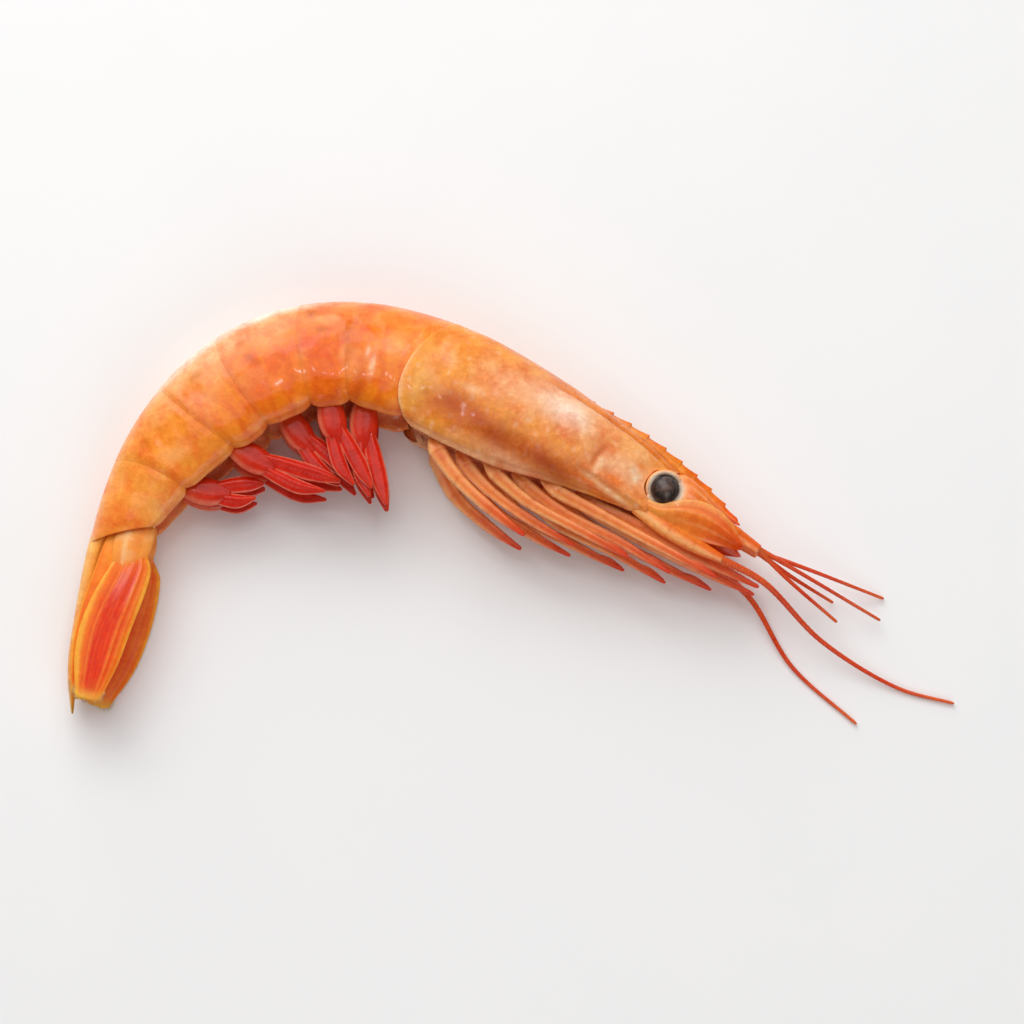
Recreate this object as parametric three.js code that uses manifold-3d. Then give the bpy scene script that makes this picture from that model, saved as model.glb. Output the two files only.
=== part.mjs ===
// A whole thawed red shrimp, head and shell on, lying on its left side.
// Millimetres. The floor is z = 0 and the right side of the shrimp faces up. The back curves round
// the +Y side, the head points to +X and the tail fan to -X and -Y.
//
// Every piece is placed in body coordinates: s is the distance along the middle line behind the rear
// edge of the head shield (negative towards the head), n the height towards the back, and side the
// distance from the middle plane, positive on the right.

import * as THREE from 'three';
import { mergeVertices } from 'three/addons/utils/BufferGeometryUtils.js';
import Module from 'manifold-3d';

const wasm = await Module();
wasm.setup();

// Gap between pieces that touch.
const GAP = 0.3;
const HALF_GAP = GAP / 2;

// Middle line: its slope at the rear edge of the head shield, then arcs towards the head and the tail.
const SLOPE_AT_SHIELD = THREE.MathUtils.degToRad(21.3);
const SHIELD_LENGTH = 45;
const SHIELD_BEND = THREE.MathUtils.degToRad(16);
const RING_LENGTHS = [13.6, 10.4, 12.6, 10.6, 13.4, 17.2];
const RING_BENDS = [13.5, 14.5, 23.5, 18.5, 15, 14].map(THREE.MathUtils.degToRad);

// Trunk stations: s, height of the back, height of the lower edge, half width, lift of the middle plane.
const SHIELD = [
    [-47, 7.4, -4.4, 4.8, 8.6],
    [-40, 8.3, -6.1, 6.7, 8.9],
    [-30, 9.1, -8.5, 8.7, 9.3],
    [-15, 10.2, -11.3, 10.1, 9.75],
    [-5, 11, -11.5, 10.1, 9.75],
    [6, 11.6, -10.5, 9.8, 9.45],
];
const RINGS = [
    [-2, 11.4, -10.2, 9.5, 9.5],
    [8, 11.7, -9.6, 9.5, 9.2],
    [18, 11.8, -9.2, 9.3, 8.95],
    [30, 11.3, -10, 9, 8.65],
    [45, 10.4, -10.2, 8.3, 7.95],
    [58, 9.6, -6.6, 6.9, 7],
    [76, 8, -2.8, 4.9, 6],
    [106, 8, -2.8, 4.9, 5.2],
];
const SHIELD_GROOVE = 5.2;
const RING_GROOVE = 3.6;

// Cross section: share of the way round that is outer shell, how far it tucks in, how round it is.
const OUTER_SHARE = 0.8;
const TUCK = 0.8;
const ROUNDNESS = 0.9;
const AROUND = 30;

// Joints behind the shield and each ring: bulge towards the tail, the height where it is greatest,
// and the heights above and below it over which it dies away.
const JOINTS = [
    { bulge: 5.3, level: -3.9, above: 14.9, below: 8 },
    { bulge: 3.3, level: 0, above: 11.6, below: 14 },
    { bulge: 1.5, level: 0, above: 11.6, below: 12 },
    { bulge: 1.6, level: -1, above: 12, below: 11 },
    { bulge: 0.8, level: 0, above: 10.5, below: 11 },
    { bulge: -1, level: 2, above: 8, below: 9 },
];
const TAIL_ROOT = 70.9;
const TAIL_ROOT_SLANT = 0.5;
const FRONT_FLARE = 0.955;
const REAR_FLARE = 1.02;
const LOBE_LIFT = 1.5;

// Front of the head shield: its edge, the notch behind each eye and the snout between the eyes.
const FRONT_EDGE = -46.5;
const EYE_NOTCH = 3.6;
const EYE_NOTCH_PLACE = 0.43;
const EYE_NOTCH_WIDTH = 0.2;
const CORNER_CUT = 3.5;
const FACE = -42.9;
const SNOUT_SIZE = 0.45;
const SNOUT_LENGTH = 6.5;

// Beak over the eyes.
const BEAK_ROOT = -24;
const BEAK_TIP = -61;
const BEAK_TEETH = 9;
const BEAK_TOOTH = 0.6;
const BEAK_HALF_THICKNESS = 1.3;
const BEAK_CREST = [[BEAK_TIP, 6.6], [-55, 8], [-50, 8.8], [-45, 9.3], [-37, 9.6], [BEAK_ROOT, 9.3]];
const BEAK_KEEL = [[BEAK_TIP, 6.2], [-56, 5.2], [-52, 5.7], [-47, 6.1], [-36, 7.2], [BEAK_ROOT, 8.2]];

// Eyes and the stalks behind them.
const EYE_RADIUS = 2.75;
const EYE_AT = [-46.7, 2.5, 4.4];
const STALK_FROM = [-46.1, 3, 2];
const STALK_WIDTHS = [1.9, 3, 3.45, 3.3];
const STALK_RIM = 0.8;

const LEFT = -1;
const RIGHT = 1;

// Feelers. A path is a row of points [s, n, side], given for the right side unless it says otherwise;
// widths and depths are the half width and half thickness at even steps along it.
const SHORT_FEELER_ROOT = {
    path: [[-50.6, 3.4, 2.3], [-58, 4, 2], [-67, 4.4, 1.6]],
    widths: [2.1, 1.7, 1.4, 1],
    depths: [1.4, 1.3, 1.1, 0.9],
};
const SHORT_WHIP_WIDTHS = [0.55, 0.4, 0.3];
const SHORT_WHIPS = {
    [RIGHT]: [
        [[-66.4, 4.6, 1.6], [-74, 6, -0.9], [-92, 9, -6.5]],
        [[-66.4, 4.6, 1.6], [-74, 3.8, -0.9], [-86, 3.4, -4]],
    ],
    [LEFT]: [
        [[-66.4, 4.6, -1.6], [-74, 7.2, -2.1], [-90, 13, -8.1]],
        [[-66.4, 4.6, -1.6], [-74, 4.8, -2.1], [-83, 6.6, -7.6]],
    ],
};
const LONG_FEELER_ROOT = {
    path: [[-46.1, -2.8, 3.4], [-54, -2.9, 3.9], [-63, -1.4, 3.6]],
    widths: [1.6, 1.8, 1.6, 1.1],
    depths: [1.1, 1.2, 1.1, 0.8],
};
const LONG_WHIP_WIDTHS = [0.8, 0.55, 0.4, 0.3];
const LONG_WHIPS = {
    [RIGHT]: [[-62, -1.6, 3.6], [-71, 0.2, 1.4], [-86, -1, -5], [-102, 1, -7.9], [-112, 5, -8.1]],
    [LEFT]: [[-62, -1.6, -3.6], [-71, -2.6, -5.6], [-84, -7.6, -7.9], [-100, -9, -8.1]],
};
const FEELER_BLADE = {
    path: [[-48.6, -2, 5.5], [-52.5, 0.6, 6], [-57.5, 1.8, 5.8], [-64.5, 2.5, 4.9]],
    widths: [0.8, 2.3, 3.4, 2.8, 0.6],
    depths: [0.4, 0.55, 0.5, 0.4, 0.3],
};

// Breast plate: where it begins and ends, how far it lies above the lower edges of the head shield,
// and the knobs on it, one for each pair of legs.
const BREAST_FROM = -36;
const BREAST_TO = 1.5;
const BREAST_HOLLOW = 1.9;
const BREAST_KNOB = 0.5;
const BREAST_INSET = 0.8;
const BREAST_KNOB_AT = -26.5;
const KNOB_PITCH = 5.75;

// Legs: s of the root, then s and n of knee, wrist and tip, the half width and the distance from the
// middle plane. The first row is the feeding pair, the last the rear pair of walking legs.
const LEGS = [
    ['feeding_leg', -33, [-47, -5.2], [-60, -3], [-71, -1], 1.3, 1.3],
    ['leg_1', -26.5, [-40, -8.3], [-53, -6.4], [-64, -4.6], 1.1, 4.2],
    ['leg_2', -20.7, [-33, -11.6], [-46, -9.9], [-56.6, -8.9], 1.1, 2.6],
    ['leg_3', -15, [-26.5, -13.7], [-38.5, -12.9], [-49, -11.4], 1.1, 4.4],
    ['leg_4', -9.2, [-18.5, -15], [-29.5, -16], [-39, -15.4], 1.15, 2.7],
    ['leg_5', -3.5, [-11.5, -15.9], [-20.5, -18.3], [-29.5, -19.2], 1.35, 4.5],
];
const LEG_TAPER = [0.55, 1.25, 1.1, 0.9, 0.75, 0.3];
const LEG_ROOT_RISE = 0.55;
const LEG_FLATNESS = 0.75;
const LEFT_LEG_DROP = 1.3;

// Swimmerets: s of the root, lean towards the head in degrees, length, distance from the middle
// plane. They curl on towards the head by SWIMMERET_CURL degrees, and the two blades leave the neck
// of the stalk side by side.
const SWIMMERETS = [
    [12.4, 4, 18.5, 3.1],
    [20.6, 7, 17.6, 4.4],
    [31.2, 10, 16.5, 1.75],
    [46.8, 7, 19.6, 3.8],
    [59.4, 12, 13.5, 2.4],
];
const SWIMMERET_CURL = 14;
const SWIMMERET_NECK = 6.6;
const SWIMMERET_STALK = { widths: [1.9, 2.5, 2.5, 2], depths: [1, 1.3, 1.1, 0.75] };
const SWIMMERET_FRONT = { widths: [1.1, 1.4, 1.5, 1.2, 0.4], depths: [0.6, 0.55, 0.5, 0.4, 0.3] };
const SWIMMERET_REAR = { widths: [1, 1.3, 1.3, 0.9, 0.35], depths: [0.55, 0.5, 0.45, 0.4, 0.3] };

// Tail fan, folded: the pointed middle plate and, on each side, a stout base and two blades.
const TAIL_PLATE = {
    path: [[75.3, 6.5, 0], [88, 6.5, 0], [98, 6, 0], [106.2, 4.2, 0]],
    widths: [2, 1.6, 1.3, 0.8, 0.2],
    depths: [2.7, 2.5, 1.9, 1.1, 0.2],
};
const FAN_BASE = {
    path: [[71.6, -0.3, 3], [74.1, -0.6, 3.6], [77, -0.8, 3.9]],
    widths: [2.2, 3.1, 3.2, 2.7],
    depths: [1, 1.4, 1.3, 0.9],
};
const FAN_INNER = {
    path: [[77.5, 2.6, 3.3], [90, 3.7, 3.5], [102.8, 4, 3.1]],
    widths: [1.5, 2.9, 3.2, 2.8, 1],
    depths: [0.6, 0.5, 0.45, 0.4, 0.25],
};
const FAN_OUTER = {
    widths: [1.8, 3.4, 4.5, 4.3, 2.2],
    depths: [0.7, 0.5, 0.45, 0.4, 0.25],
};
const FAN_OUTER_PATHS = {
    [RIGHT]: [[77.5, -0.9, 4.1], [90, 1.3, 4.8], [103.8, 1.7, 4.5]],
    [LEFT]: [[77.5, -1.9, -4.1], [90, -1, -4.8], [103.2, 0.9, -4.5]],
};

// The value of one column of a table at s, by a smooth curve through its rows.
function along(table, column, s) {
    const last = table.length - 1;
    if (s <= table[0][0]) return table[0][column];
    if (s >= table[last][0]) return table[last][column];
    const i = table.findIndex((row, k) => k < last && s < table[k + 1][0]);
    const slope = (k) => {
        const before = table[Math.max(k - 1, 0)];
        const after = table[Math.min(k + 1, last)];
        return (after[column] - before[column]) / (after[0] - before[0]);
    };
    const step = table[i + 1][0] - table[i][0];
    const t = (s - table[i][0]) / step;
    const from = table[i][column] * (1 + 2 * t) * (1 - t) ** 2;
    const to = table[i + 1][column] * (3 - 2 * t) * t ** 2;
    return from + to + step * t * (1 - t) * (slope(i) * (1 - t) - slope(i + 1) * t);
}

// Point and slope of the middle line at s. Each arc turns at an even rate, so it has a closed formula.
function middleLine(s) {
    const towardsTail = s >= 0;
    const lengths = towardsTail ? RING_LENGTHS : [SHIELD_LENGTH];
    const bends = towardsTail ? RING_BENDS : [SHIELD_BEND];
    const direction = towardsTail ? 1 : -1;
    let x = 0;
    let y = 0;
    let slope = SLOPE_AT_SHIELD;
    let left = Math.abs(s);
    lengths.forEach((length, i) => {
        const run = Math.min(length, left);
        const rate = bends[i] / length;
        const next = slope - direction * rate * run;
        x += (Math.sin(next) - Math.sin(slope)) / rate;
        y += (Math.cos(next) - Math.cos(slope)) / rate;
        slope = next;
        left -= run;
    });
    x -= direction * left * Math.cos(slope);
    y += direction * left * Math.sin(slope);
    return { x, y, slope };
}

function lift(s) {
    return s < 0 ? along(SHIELD, 4, s) : along(RINGS, 4, s);
}

// Body coordinates to the model's own frame. Nothing goes below the floor, so the side that lies
// on it is pressed flat.
function place(s, n, side) {
    const { x, y, slope } = middleLine(s);
    const height = Math.max(lift(s) + side, 0);
    return new THREE.Vector3(x + n * Math.sin(slope), y + n * Math.cos(slope), height);
}

// Closed surface through rings of points. A ring of one point closes an end.
function skin(rings) {
    const positions = rings.flat().flatMap((p) => [p.x, p.y, p.z]);
    const index = [];
    let start = 0;
    for (let i = 0; i + 1 < rings.length; i++) {
        const next = start + rings[i].length;
        const count = Math.max(rings[i].length, rings[i + 1].length);
        for (let j = 0; j < count; j++) {
            const k = (j + 1) % count;
            const a = rings[i].length === 1 ? start : start + j;
            const b = rings[i].length === 1 ? start : start + k;
            const c = rings[i + 1].length === 1 ? next : next + k;
            const d = rings[i + 1].length === 1 ? next : next + j;
            if (a !== b) index.push(a, b, c);
            if (c !== d) index.push(a, c, d);
        }
        start = next;
    }
    const geometry = new THREE.BufferGeometry();
    geometry.setAttribute('position', new THREE.Float32BufferAttribute(positions, 3));
    geometry.setIndex(index);
    return facingOut(geometry);
}

function volume(geometry) {
    const p = geometry.getAttribute('position');
    const index = geometry.getIndex();
    const a = new THREE.Vector3();
    const b = new THREE.Vector3();
    const c = new THREE.Vector3();
    let sum = 0;
    for (let i = 0; i < index.count; i += 3) {
        a.fromBufferAttribute(p, index.getX(i));
        b.fromBufferAttribute(p, index.getX(i + 1));
        c.fromBufferAttribute(p, index.getX(i + 2));
        sum += a.dot(b.cross(c)) / 6;
    }
    return sum;
}

function facingOut(geometry) {
    if (volume(geometry) < 0) {
        const index = geometry.getIndex();
        for (let i = 0; i < index.count; i += 3) {
            const second = index.getX(i + 1);
            index.setX(i + 1, index.getX(i + 2));
            index.setX(i + 2, second);
        }
    }
    return geometry;
}

function solid(geometry) {
    const bare = geometry.clone();
    bare.deleteAttribute('normal');
    bare.deleteAttribute('uv');
    const merged = mergeVertices(bare, 1e-4);
    const vertProperties = new Float32Array(merged.getAttribute('position').array);
    const triVerts = new Uint32Array(merged.getIndex().array);
    return new wasm.Manifold(new wasm.Mesh({ numProp: 3, vertProperties, triVerts }));
}

function geometryOf(manifold) {
    const mesh = manifold.getMesh();
    const geometry = new THREE.BufferGeometry();
    geometry.setAttribute('position', new THREE.BufferAttribute(mesh.vertProperties, 3));
    geometry.setIndex(new THREE.BufferAttribute(mesh.triVerts, 1));
    return geometry;
}

// Half of the trunk's cross section, for u from 0 at the back to 1 at the middle of the underside:
// round the shell to the lower edge, then up into the groove between the two lower edges.
function section(table, groove, s, u) {
    const top = along(table, 1, s);
    const bottom = along(table, 2, s);
    const half = along(table, 3, s);
    const v = Math.min(Math.abs(u) / OUTER_SHARE, 1);
    const outward = Math.sign(u) * half * Math.max(Math.sin(Math.PI * TUCK * v), 0) ** ROUNDNESS;
    if (v < 1) {
        const n = (top + bottom) / 2 + (top - bottom) / 2 * Math.cos(Math.PI * v);
        return { n, side: outward, v };
    }
    const turn = (Math.abs(u) - OUTER_SHARE) / (1 - OUTER_SHARE) * Math.PI / 2;
    return { n: bottom + groove * Math.sin(turn) ** 0.6, side: outward * Math.cos(turn), v };
}

// Height of the middle of the section, which the ends of a shell piece close on.
function sectionMiddle(table, s) {
    return (along(table, 1, s) + along(table, 2, s)) / 2;
}

function ringAngles() {
    return Array.from({ length: AROUND }, (_, j) => 2 * j / AROUND - 1);
}

// s of joint i at height n.
function jointAt(i, n) {
    if (i === JOINTS.length) return TAIL_ROOT + TAIL_ROOT_SLANT * n;
    const start = RING_LENGTHS.slice(0, i).reduce((sum, length) => sum + length, 0);
    const { bulge, level, above, below } = JOINTS[i];
    const away = (n - level) / (n > level ? above : below);
    return start + bulge * (1 - away ** 2);
}

// One ring of shell of the tail, between two joints, with its ends closed.
function ring(i) {
    const front = jointAt(i, 0);
    const rear = jointAt(i + 1, 0);
    const loop = (share) => ringAngles().map((u) => {
        const s = THREE.MathUtils.lerp(front, rear, share);
        const middle = sectionMiddle(RINGS, s);
        const at = section(RINGS, RING_GROOVE, s, u);
        const flare = THREE.MathUtils.lerp(FRONT_FLARE, REAR_FLARE, share ** 0.6);
        const lobe = LOBE_LIFT * Math.abs(2 * share - 1) ** 4 * at.v ** 8;
        const n = middle + (at.n - middle + lobe) * flare;
        const from = jointAt(i, n) + HALF_GAP;
        const to = jointAt(i + 1, n) - HALF_GAP;
        return place(THREE.MathUtils.lerp(from, to, share), n, at.side * flare);
    });
    const end = (share) => {
        const n = sectionMiddle(RINGS, share ? rear : front);
        return [place(share ? jointAt(i + 1, n) - HALF_GAP : jointAt(i, n) + HALF_GAP, n, 0)];
    };
    return skin([end(0), ...[0, 0.12, 0.45, 0.85, 1].map(loop), end(1)]);
}

// Front edge of the head shield at v round the section, closing inwards to the face and the snout.
function shieldFront(v, r) {
    const notch = EYE_NOTCH * Math.exp(-(((v - EYE_NOTCH_PLACE) / EYE_NOTCH_WIDTH) ** 4));
    const corner = CORNER_CUT * THREE.MathUtils.smoothstep(v, 0.75, 1);
    const lip = THREE.MathUtils.smoothstep(r, 0.8, 1);
    const snout = SNOUT_LENGTH * Math.max(1 - (r / SNOUT_SIZE) ** 2, 0);
    return THREE.MathUtils.lerp(FACE - snout, FRONT_EDGE + notch + corner, lip);
}

// Head shield with its beak.
function shield() {
    const front = FRONT_EDGE;
    const rear = jointAt(0, 0);
    const loop = (share, r) => ringAngles().map((u) => {
        const s = THREE.MathUtils.lerp(front, rear, share);
        const at = section(SHIELD, SHIELD_GROOVE * (0.45 + 0.55 * share ** 0.5), s, u);
        const middle = sectionMiddle(SHIELD, s);
        const n = middle + (at.n - middle) * r;
        const from = shieldFront(at.v, r);
        return place(THREE.MathUtils.lerp(from, jointAt(0, n) - HALF_GAP, share), n, at.side * r);
    });
    const snout = [place(FACE - SNOUT_LENGTH, sectionMiddle(SHIELD, front), 0)];
    const face = [0.2, 0.36, 0.45, 0.8, 0.9].map((r) => loop(0, r));
    const sides = Array.from({ length: 11 }, (_, k) => loop((k / 10) ** 1.2, 1));
    const middle = sectionMiddle(SHIELD, rear);
    const closed = [place(jointAt(0, middle) - HALF_GAP, middle, 0)];
    const body = solid(skin([snout, ...face, ...sides, closed]));
    return geometryOf(body.add(solid(beak())));
}

// Beak: a thin toothed blade that rises out of the shield and reaches over the eyes.
function beak() {
    const rings = [[place(BEAK_ROOT + 1, 8.6, 0)]];
    const pitch = (BEAK_ROOT - BEAK_TIP) / (BEAK_TEETH + 1);
    const cut = (s, tooth) => {
        const toTip = THREE.MathUtils.smoothstep(s, BEAK_TIP - 6, -44);
        const thick = Math.max(BEAK_HALF_THICKNESS * toTip, 0.25);
        const high = along(BEAK_CREST, 1, s) + tooth;
        const low = along(BEAK_KEEL, 1, s);
        const waist = (high + low) / 2;
        const corners = [[high, 0.18], [waist, thick * 0.5], [low, thick]];
        const right = corners.map(([n, side]) => place(s, n, side));
        const left = corners.map(([n, side]) => place(s, n, -side)).reverse();
        return [...right, ...left];
    };
    for (let k = 0; k <= BEAK_TEETH; k++) {
        const root = BEAK_ROOT - pitch * k;
        const small = k === 0 ? 0 : BEAK_TOOTH;
        rings.push(cut(root, 0), cut(root - pitch * 0.72, small), cut(root - pitch * 0.86, 0));
    }
    rings.push([place(BEAK_TIP, (BEAK_CREST[0][1] + BEAK_KEEL[0][1]) / 2, 0)]);
    return skin(rings);
}

// Underside of the head shield: the breast plate with the knobs that the legs grow from.
function breast() {
    const loop = (share) => Array.from({ length: 12 }, (_, j) => {
        const angle = 2 * Math.PI * j / 12;
        const s = THREE.MathUtils.lerp(BREAST_FROM, BREAST_TO, share);
        const close = Math.sqrt(Math.max(1 - (2 * share - 1) ** 6, 0.02));
        const bottom = along(SHIELD, 2, s);
        const shell = along(SHIELD, 3, s) * Math.sin(Math.PI * TUCK) ** ROUNDNESS;
        const half = (shell - BREAST_INSET) * close;
        const groove = SHIELD_GROOVE * (0.45 + 0.55 * (1 + s / 46) ** 0.5) - BREAST_INSET;
        const knob = BREAST_KNOB * (0.5 + Math.cos(2 * Math.PI * (s - BREAST_KNOB_AT) / KNOB_PITCH));
        const swell = Math.sin(angle) > 0 ? groove - BREAST_HOLLOW : -knob;
        const n = bottom + BREAST_HOLLOW + swell * close * Math.abs(Math.sin(angle)) ** 0.7;
        return place(s, n, half * Math.cos(angle));
    });
    const rings = Array.from({ length: 15 }, (_, k) => loop(k / 14));
    const end = (s) => [place(s, along(SHIELD, 2, s) + BREAST_HOLLOW, 0)];
    return skin([end(BREAST_FROM - 0.2), ...rings, end(BREAST_TO + 0.2)]);
}

// A limb, blade or feeler: its path is mirrored for the left side.
function limb({ path, widths, depths = widths }, hand, sides, steps) {
    return tube(path.map(([s, n, side]) => place(s, n, side * hand)), widths, depths, sides, steps);
}

// An oval section carried along a smooth path through points, its half width and half thickness
// given at even steps and joined smoothly.
function tube(points, widths, depths, sides, steps) {
    const curve = new THREE.CatmullRomCurve3(points);
    const up = new THREE.Vector3(0, 0, 1);
    const size = (values, t) => along(values.map((value, k) => [k / (values.length - 1), value]), 1, t);
    const loop = (t) => {
        const tangent = curve.getTangent(t);
        const across = new THREE.Vector3().crossVectors(up, tangent).normalize();
        const through = new THREE.Vector3().crossVectors(tangent, across);
        return Array.from({ length: sides }, (_, j) => {
            const angle = 2 * Math.PI * (j + 0.5) / sides;
            return curve.getPoint(t)
                .addScaledVector(across, size(widths, t) * Math.cos(angle))
                .addScaledVector(through, size(depths, t) * Math.sin(angle));
        });
    };
    const rings = Array.from({ length: steps + 1 }, (_, k) => loop(k / steps));
    return skin([[curve.getPoint(0)], ...rings, [curve.getPoint(1)]]);
}

function joined(geometries) {
    return geometryOf(geometries.map(solid).reduce((sum, piece) => sum.add(piece)));
}

function ball([s, n, side], hand, radius) {
    const centre = place(s, n, side * hand);
    return new THREE.SphereGeometry(radius, 14, 8).translate(centre.x, centre.y, centre.z);
}

// Eye stalk: a short cone that opens into a cup round the inner side of the eye.
function stalk(hand) {
    const [s, n, side] = EYE_AT;
    const path = [STALK_FROM, [s, n, side + STALK_RIM]];
    const cone = limb({ path, widths: STALK_WIDTHS }, hand, 12, 5);
    return geometryOf(solid(cone).subtract(solid(ball(EYE_AT, hand, EYE_RADIUS + GAP))));
}

// Short feeler: a stout three-jointed root and two whips.
function shortFeeler(hand) {
    const whips = SHORT_WHIPS[hand].map((path) => limb({ path, widths: SHORT_WHIP_WIDTHS }, 1, 5, 8));
    return joined([limb(SHORT_FEELER_ROOT, hand, 7, 6), ...whips]);
}

// Long feeler: a thick root under the blade and one long whip.
function longFeeler(hand) {
    const whip = limb({ path: LONG_WHIPS[hand], widths: LONG_WHIP_WIDTHS }, 1, 5, 15);
    return joined([limb(LONG_FEELER_ROOT, hand, 7, 6), whip]);
}

function leg([, root, knee, wrist, tip, thick, side], hand) {
    const drop = hand === LEFT ? LEFT_LEG_DROP : 0;
    const start = along(SHIELD, 2, root) + LEG_ROOT_RISE;
    const bend = THREE.MathUtils.lerp(start, knee[1], 0.3) - 0.5;
    const path = [
        [root, start, side],
        [THREE.MathUtils.lerp(root, knee[0], 0.3), bend, side + 0.2],
        [knee[0], knee[1] - drop, side + 0.2],
        [wrist[0], wrist[1] - drop, side],
        [tip[0], tip[1] - drop, side * 0.8],
    ];
    const widths = LEG_TAPER.map((share) => share * thick);
    const depths = widths.map((width) => width * LEG_FLATNESS);
    return limb({ path, widths, depths }, hand, 6, 9);
}

// Swimmeret: a broad stalk and two narrow blades, all in a plane beside the body's middle plane.
// Reach gives the point at a distance from the root, set off towards the tail by aside.
function swimmeret([s, lean, length, side], hand) {
    const { slope } = middleLine(s);
    const towardsBack = new THREE.Vector3(Math.sin(slope), Math.cos(slope), 0);
    const towardsHead = new THREE.Vector3(Math.cos(slope), -Math.sin(slope), 0);
    const start = place(s, along(RINGS, 2, s) + 0.6, side * hand);
    const reach = (distance, aside) => {
        const turn = THREE.MathUtils.degToRad(lean + SWIMMERET_CURL * distance / length);
        return start.clone()
            .addScaledVector(towardsBack, -distance * Math.cos(turn) - aside * Math.sin(turn))
            .addScaledVector(towardsHead, distance * Math.sin(turn) - aside * Math.cos(turn));
    };
    const neck = SWIMMERET_NECK;
    const part = (points, { widths, depths }, sides, steps) => tube(points, widths, depths, sides, steps);
    const stalk = [reach(0, 0), reach(neck / 2, 0), reach(neck, 0)];
    const front = [reach(neck - 1, -1), reach((neck + length) / 2, -1.7), reach(length, -1.2)];
    const rear = [reach(neck - 1, 0.9), reach(length * 0.66, 1.5), reach(length * 0.9, 1.2)];
    return joined([
        part(stalk, SWIMMERET_STALK, 7, 3),
        part(front, SWIMMERET_FRONT, 6, 5),
        part(rear, SWIMMERET_REAR, 6, 5),
    ]);
}

const shellOrange = { color: '#f08a3f', roughness: 0.38 };
const shieldOrange = { color: '#e08445', roughness: 0.4 };
const paleFlesh = { color: '#f3a981', roughness: 0.45 };
const eyeBlack = { color: '#2b1f1c', roughness: 0.15 };
const feelerRed = { color: '#e8603a', roughness: 0.42 };
const swimmeretRed = { color: '#c8352a', roughness: 0.45 };
const fanOrange = { color: '#ef6d35', roughness: 0.4 };

const shrimp = new THREE.Group();

function add(name, geometry, finish) {
    const mesh = new THREE.Mesh(geometry, new THREE.MeshStandardMaterial({ metalness: 0, ...finish }));
    mesh.name = name;
    shrimp.add(mesh);
}

add('head_shield', shield(), shieldOrange);
add('breast', breast(), paleFlesh);
RING_LENGTHS.forEach((_, i) => add(`ring_${i + 1}`, ring(i), shellOrange));
add('tail_plate', limb(TAIL_PLATE, 1, 10, 9), fanOrange);
for (const [hand, name] of [[RIGHT, 'right'], [LEFT, 'left']]) {
    add(`fan_base_${name}`, limb(FAN_BASE, hand, 10, 5), shellOrange);
    add(`fan_inner_${name}`, limb(FAN_INNER, hand, 8, 9), fanOrange);
    add(`fan_outer_${name}`, limb({ path: FAN_OUTER_PATHS[hand], ...FAN_OUTER }, 1, 8, 9), fanOrange);
    add(`eye_${name}`, ball(EYE_AT, hand, EYE_RADIUS), eyeBlack);
    add(`eye_stalk_${name}`, stalk(hand), paleFlesh);
    add(`short_feeler_${name}`, shortFeeler(hand), feelerRed);
    add(`long_feeler_${name}`, longFeeler(hand), feelerRed);
    add(`feeler_blade_${name}`, limb(FEELER_BLADE, hand, 8, 9), shieldOrange);
    LEGS.forEach((row) => add(`${row[0]}_${name}`, leg(row, hand), paleFlesh));
    SWIMMERETS.forEach((row, k) => add(`swimmeret_${k + 1}_${name}`, swimmeret(row, hand), swimmeretRed));
}

// The origin is on the floor under the middle of the whole shrimp.
const bounds = new THREE.Box3().setFromObject(shrimp);
const centre = bounds.getCenter(new THREE.Vector3());
shrimp.position.set(-centre.x, -centre.y, -bounds.min.z);

export default shrimp;
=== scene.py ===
import bpy
import numpy as np
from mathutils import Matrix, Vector


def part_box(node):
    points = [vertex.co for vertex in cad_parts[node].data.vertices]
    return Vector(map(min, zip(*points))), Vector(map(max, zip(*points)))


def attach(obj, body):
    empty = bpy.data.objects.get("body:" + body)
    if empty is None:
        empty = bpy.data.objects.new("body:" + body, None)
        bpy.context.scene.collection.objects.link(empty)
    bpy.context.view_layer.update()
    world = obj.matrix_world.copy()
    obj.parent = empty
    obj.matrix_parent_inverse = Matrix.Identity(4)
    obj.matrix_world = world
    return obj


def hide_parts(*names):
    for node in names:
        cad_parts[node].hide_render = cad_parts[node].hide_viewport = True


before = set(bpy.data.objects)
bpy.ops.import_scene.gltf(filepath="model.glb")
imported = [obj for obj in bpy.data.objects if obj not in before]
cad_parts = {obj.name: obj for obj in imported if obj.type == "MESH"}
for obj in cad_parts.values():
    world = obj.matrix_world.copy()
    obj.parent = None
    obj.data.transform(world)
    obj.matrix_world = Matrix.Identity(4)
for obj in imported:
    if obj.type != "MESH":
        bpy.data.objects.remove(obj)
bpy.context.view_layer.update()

# Tail shell: six rings of thin hard shell, each slid under the rear edge of the one before it.
# Raw chitin over orange muscle, thawed and wet, so it is glossy and lets the flesh show through.
# Each ring is one closed sleeve with a rounded rear lip and a tucked front edge.
MM = 0.001
FLOOR_GAP = 0.01 * MM
# The body's middle line: its slope at the first joint, and the length and bend of its arcs.
SLOPE = np.radians(21.3)
RING_LENGTHS = (13.6, 10.4, 12.6, 10.6, 13.4, 17.2)
RING_ARCS = tuple(zip(RING_LENGTHS, np.radians((13.5, 14.5, 23.5, 18.5, 15, 14))))
SHIELD_ARCS = ((45, np.radians(16)),)
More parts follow.
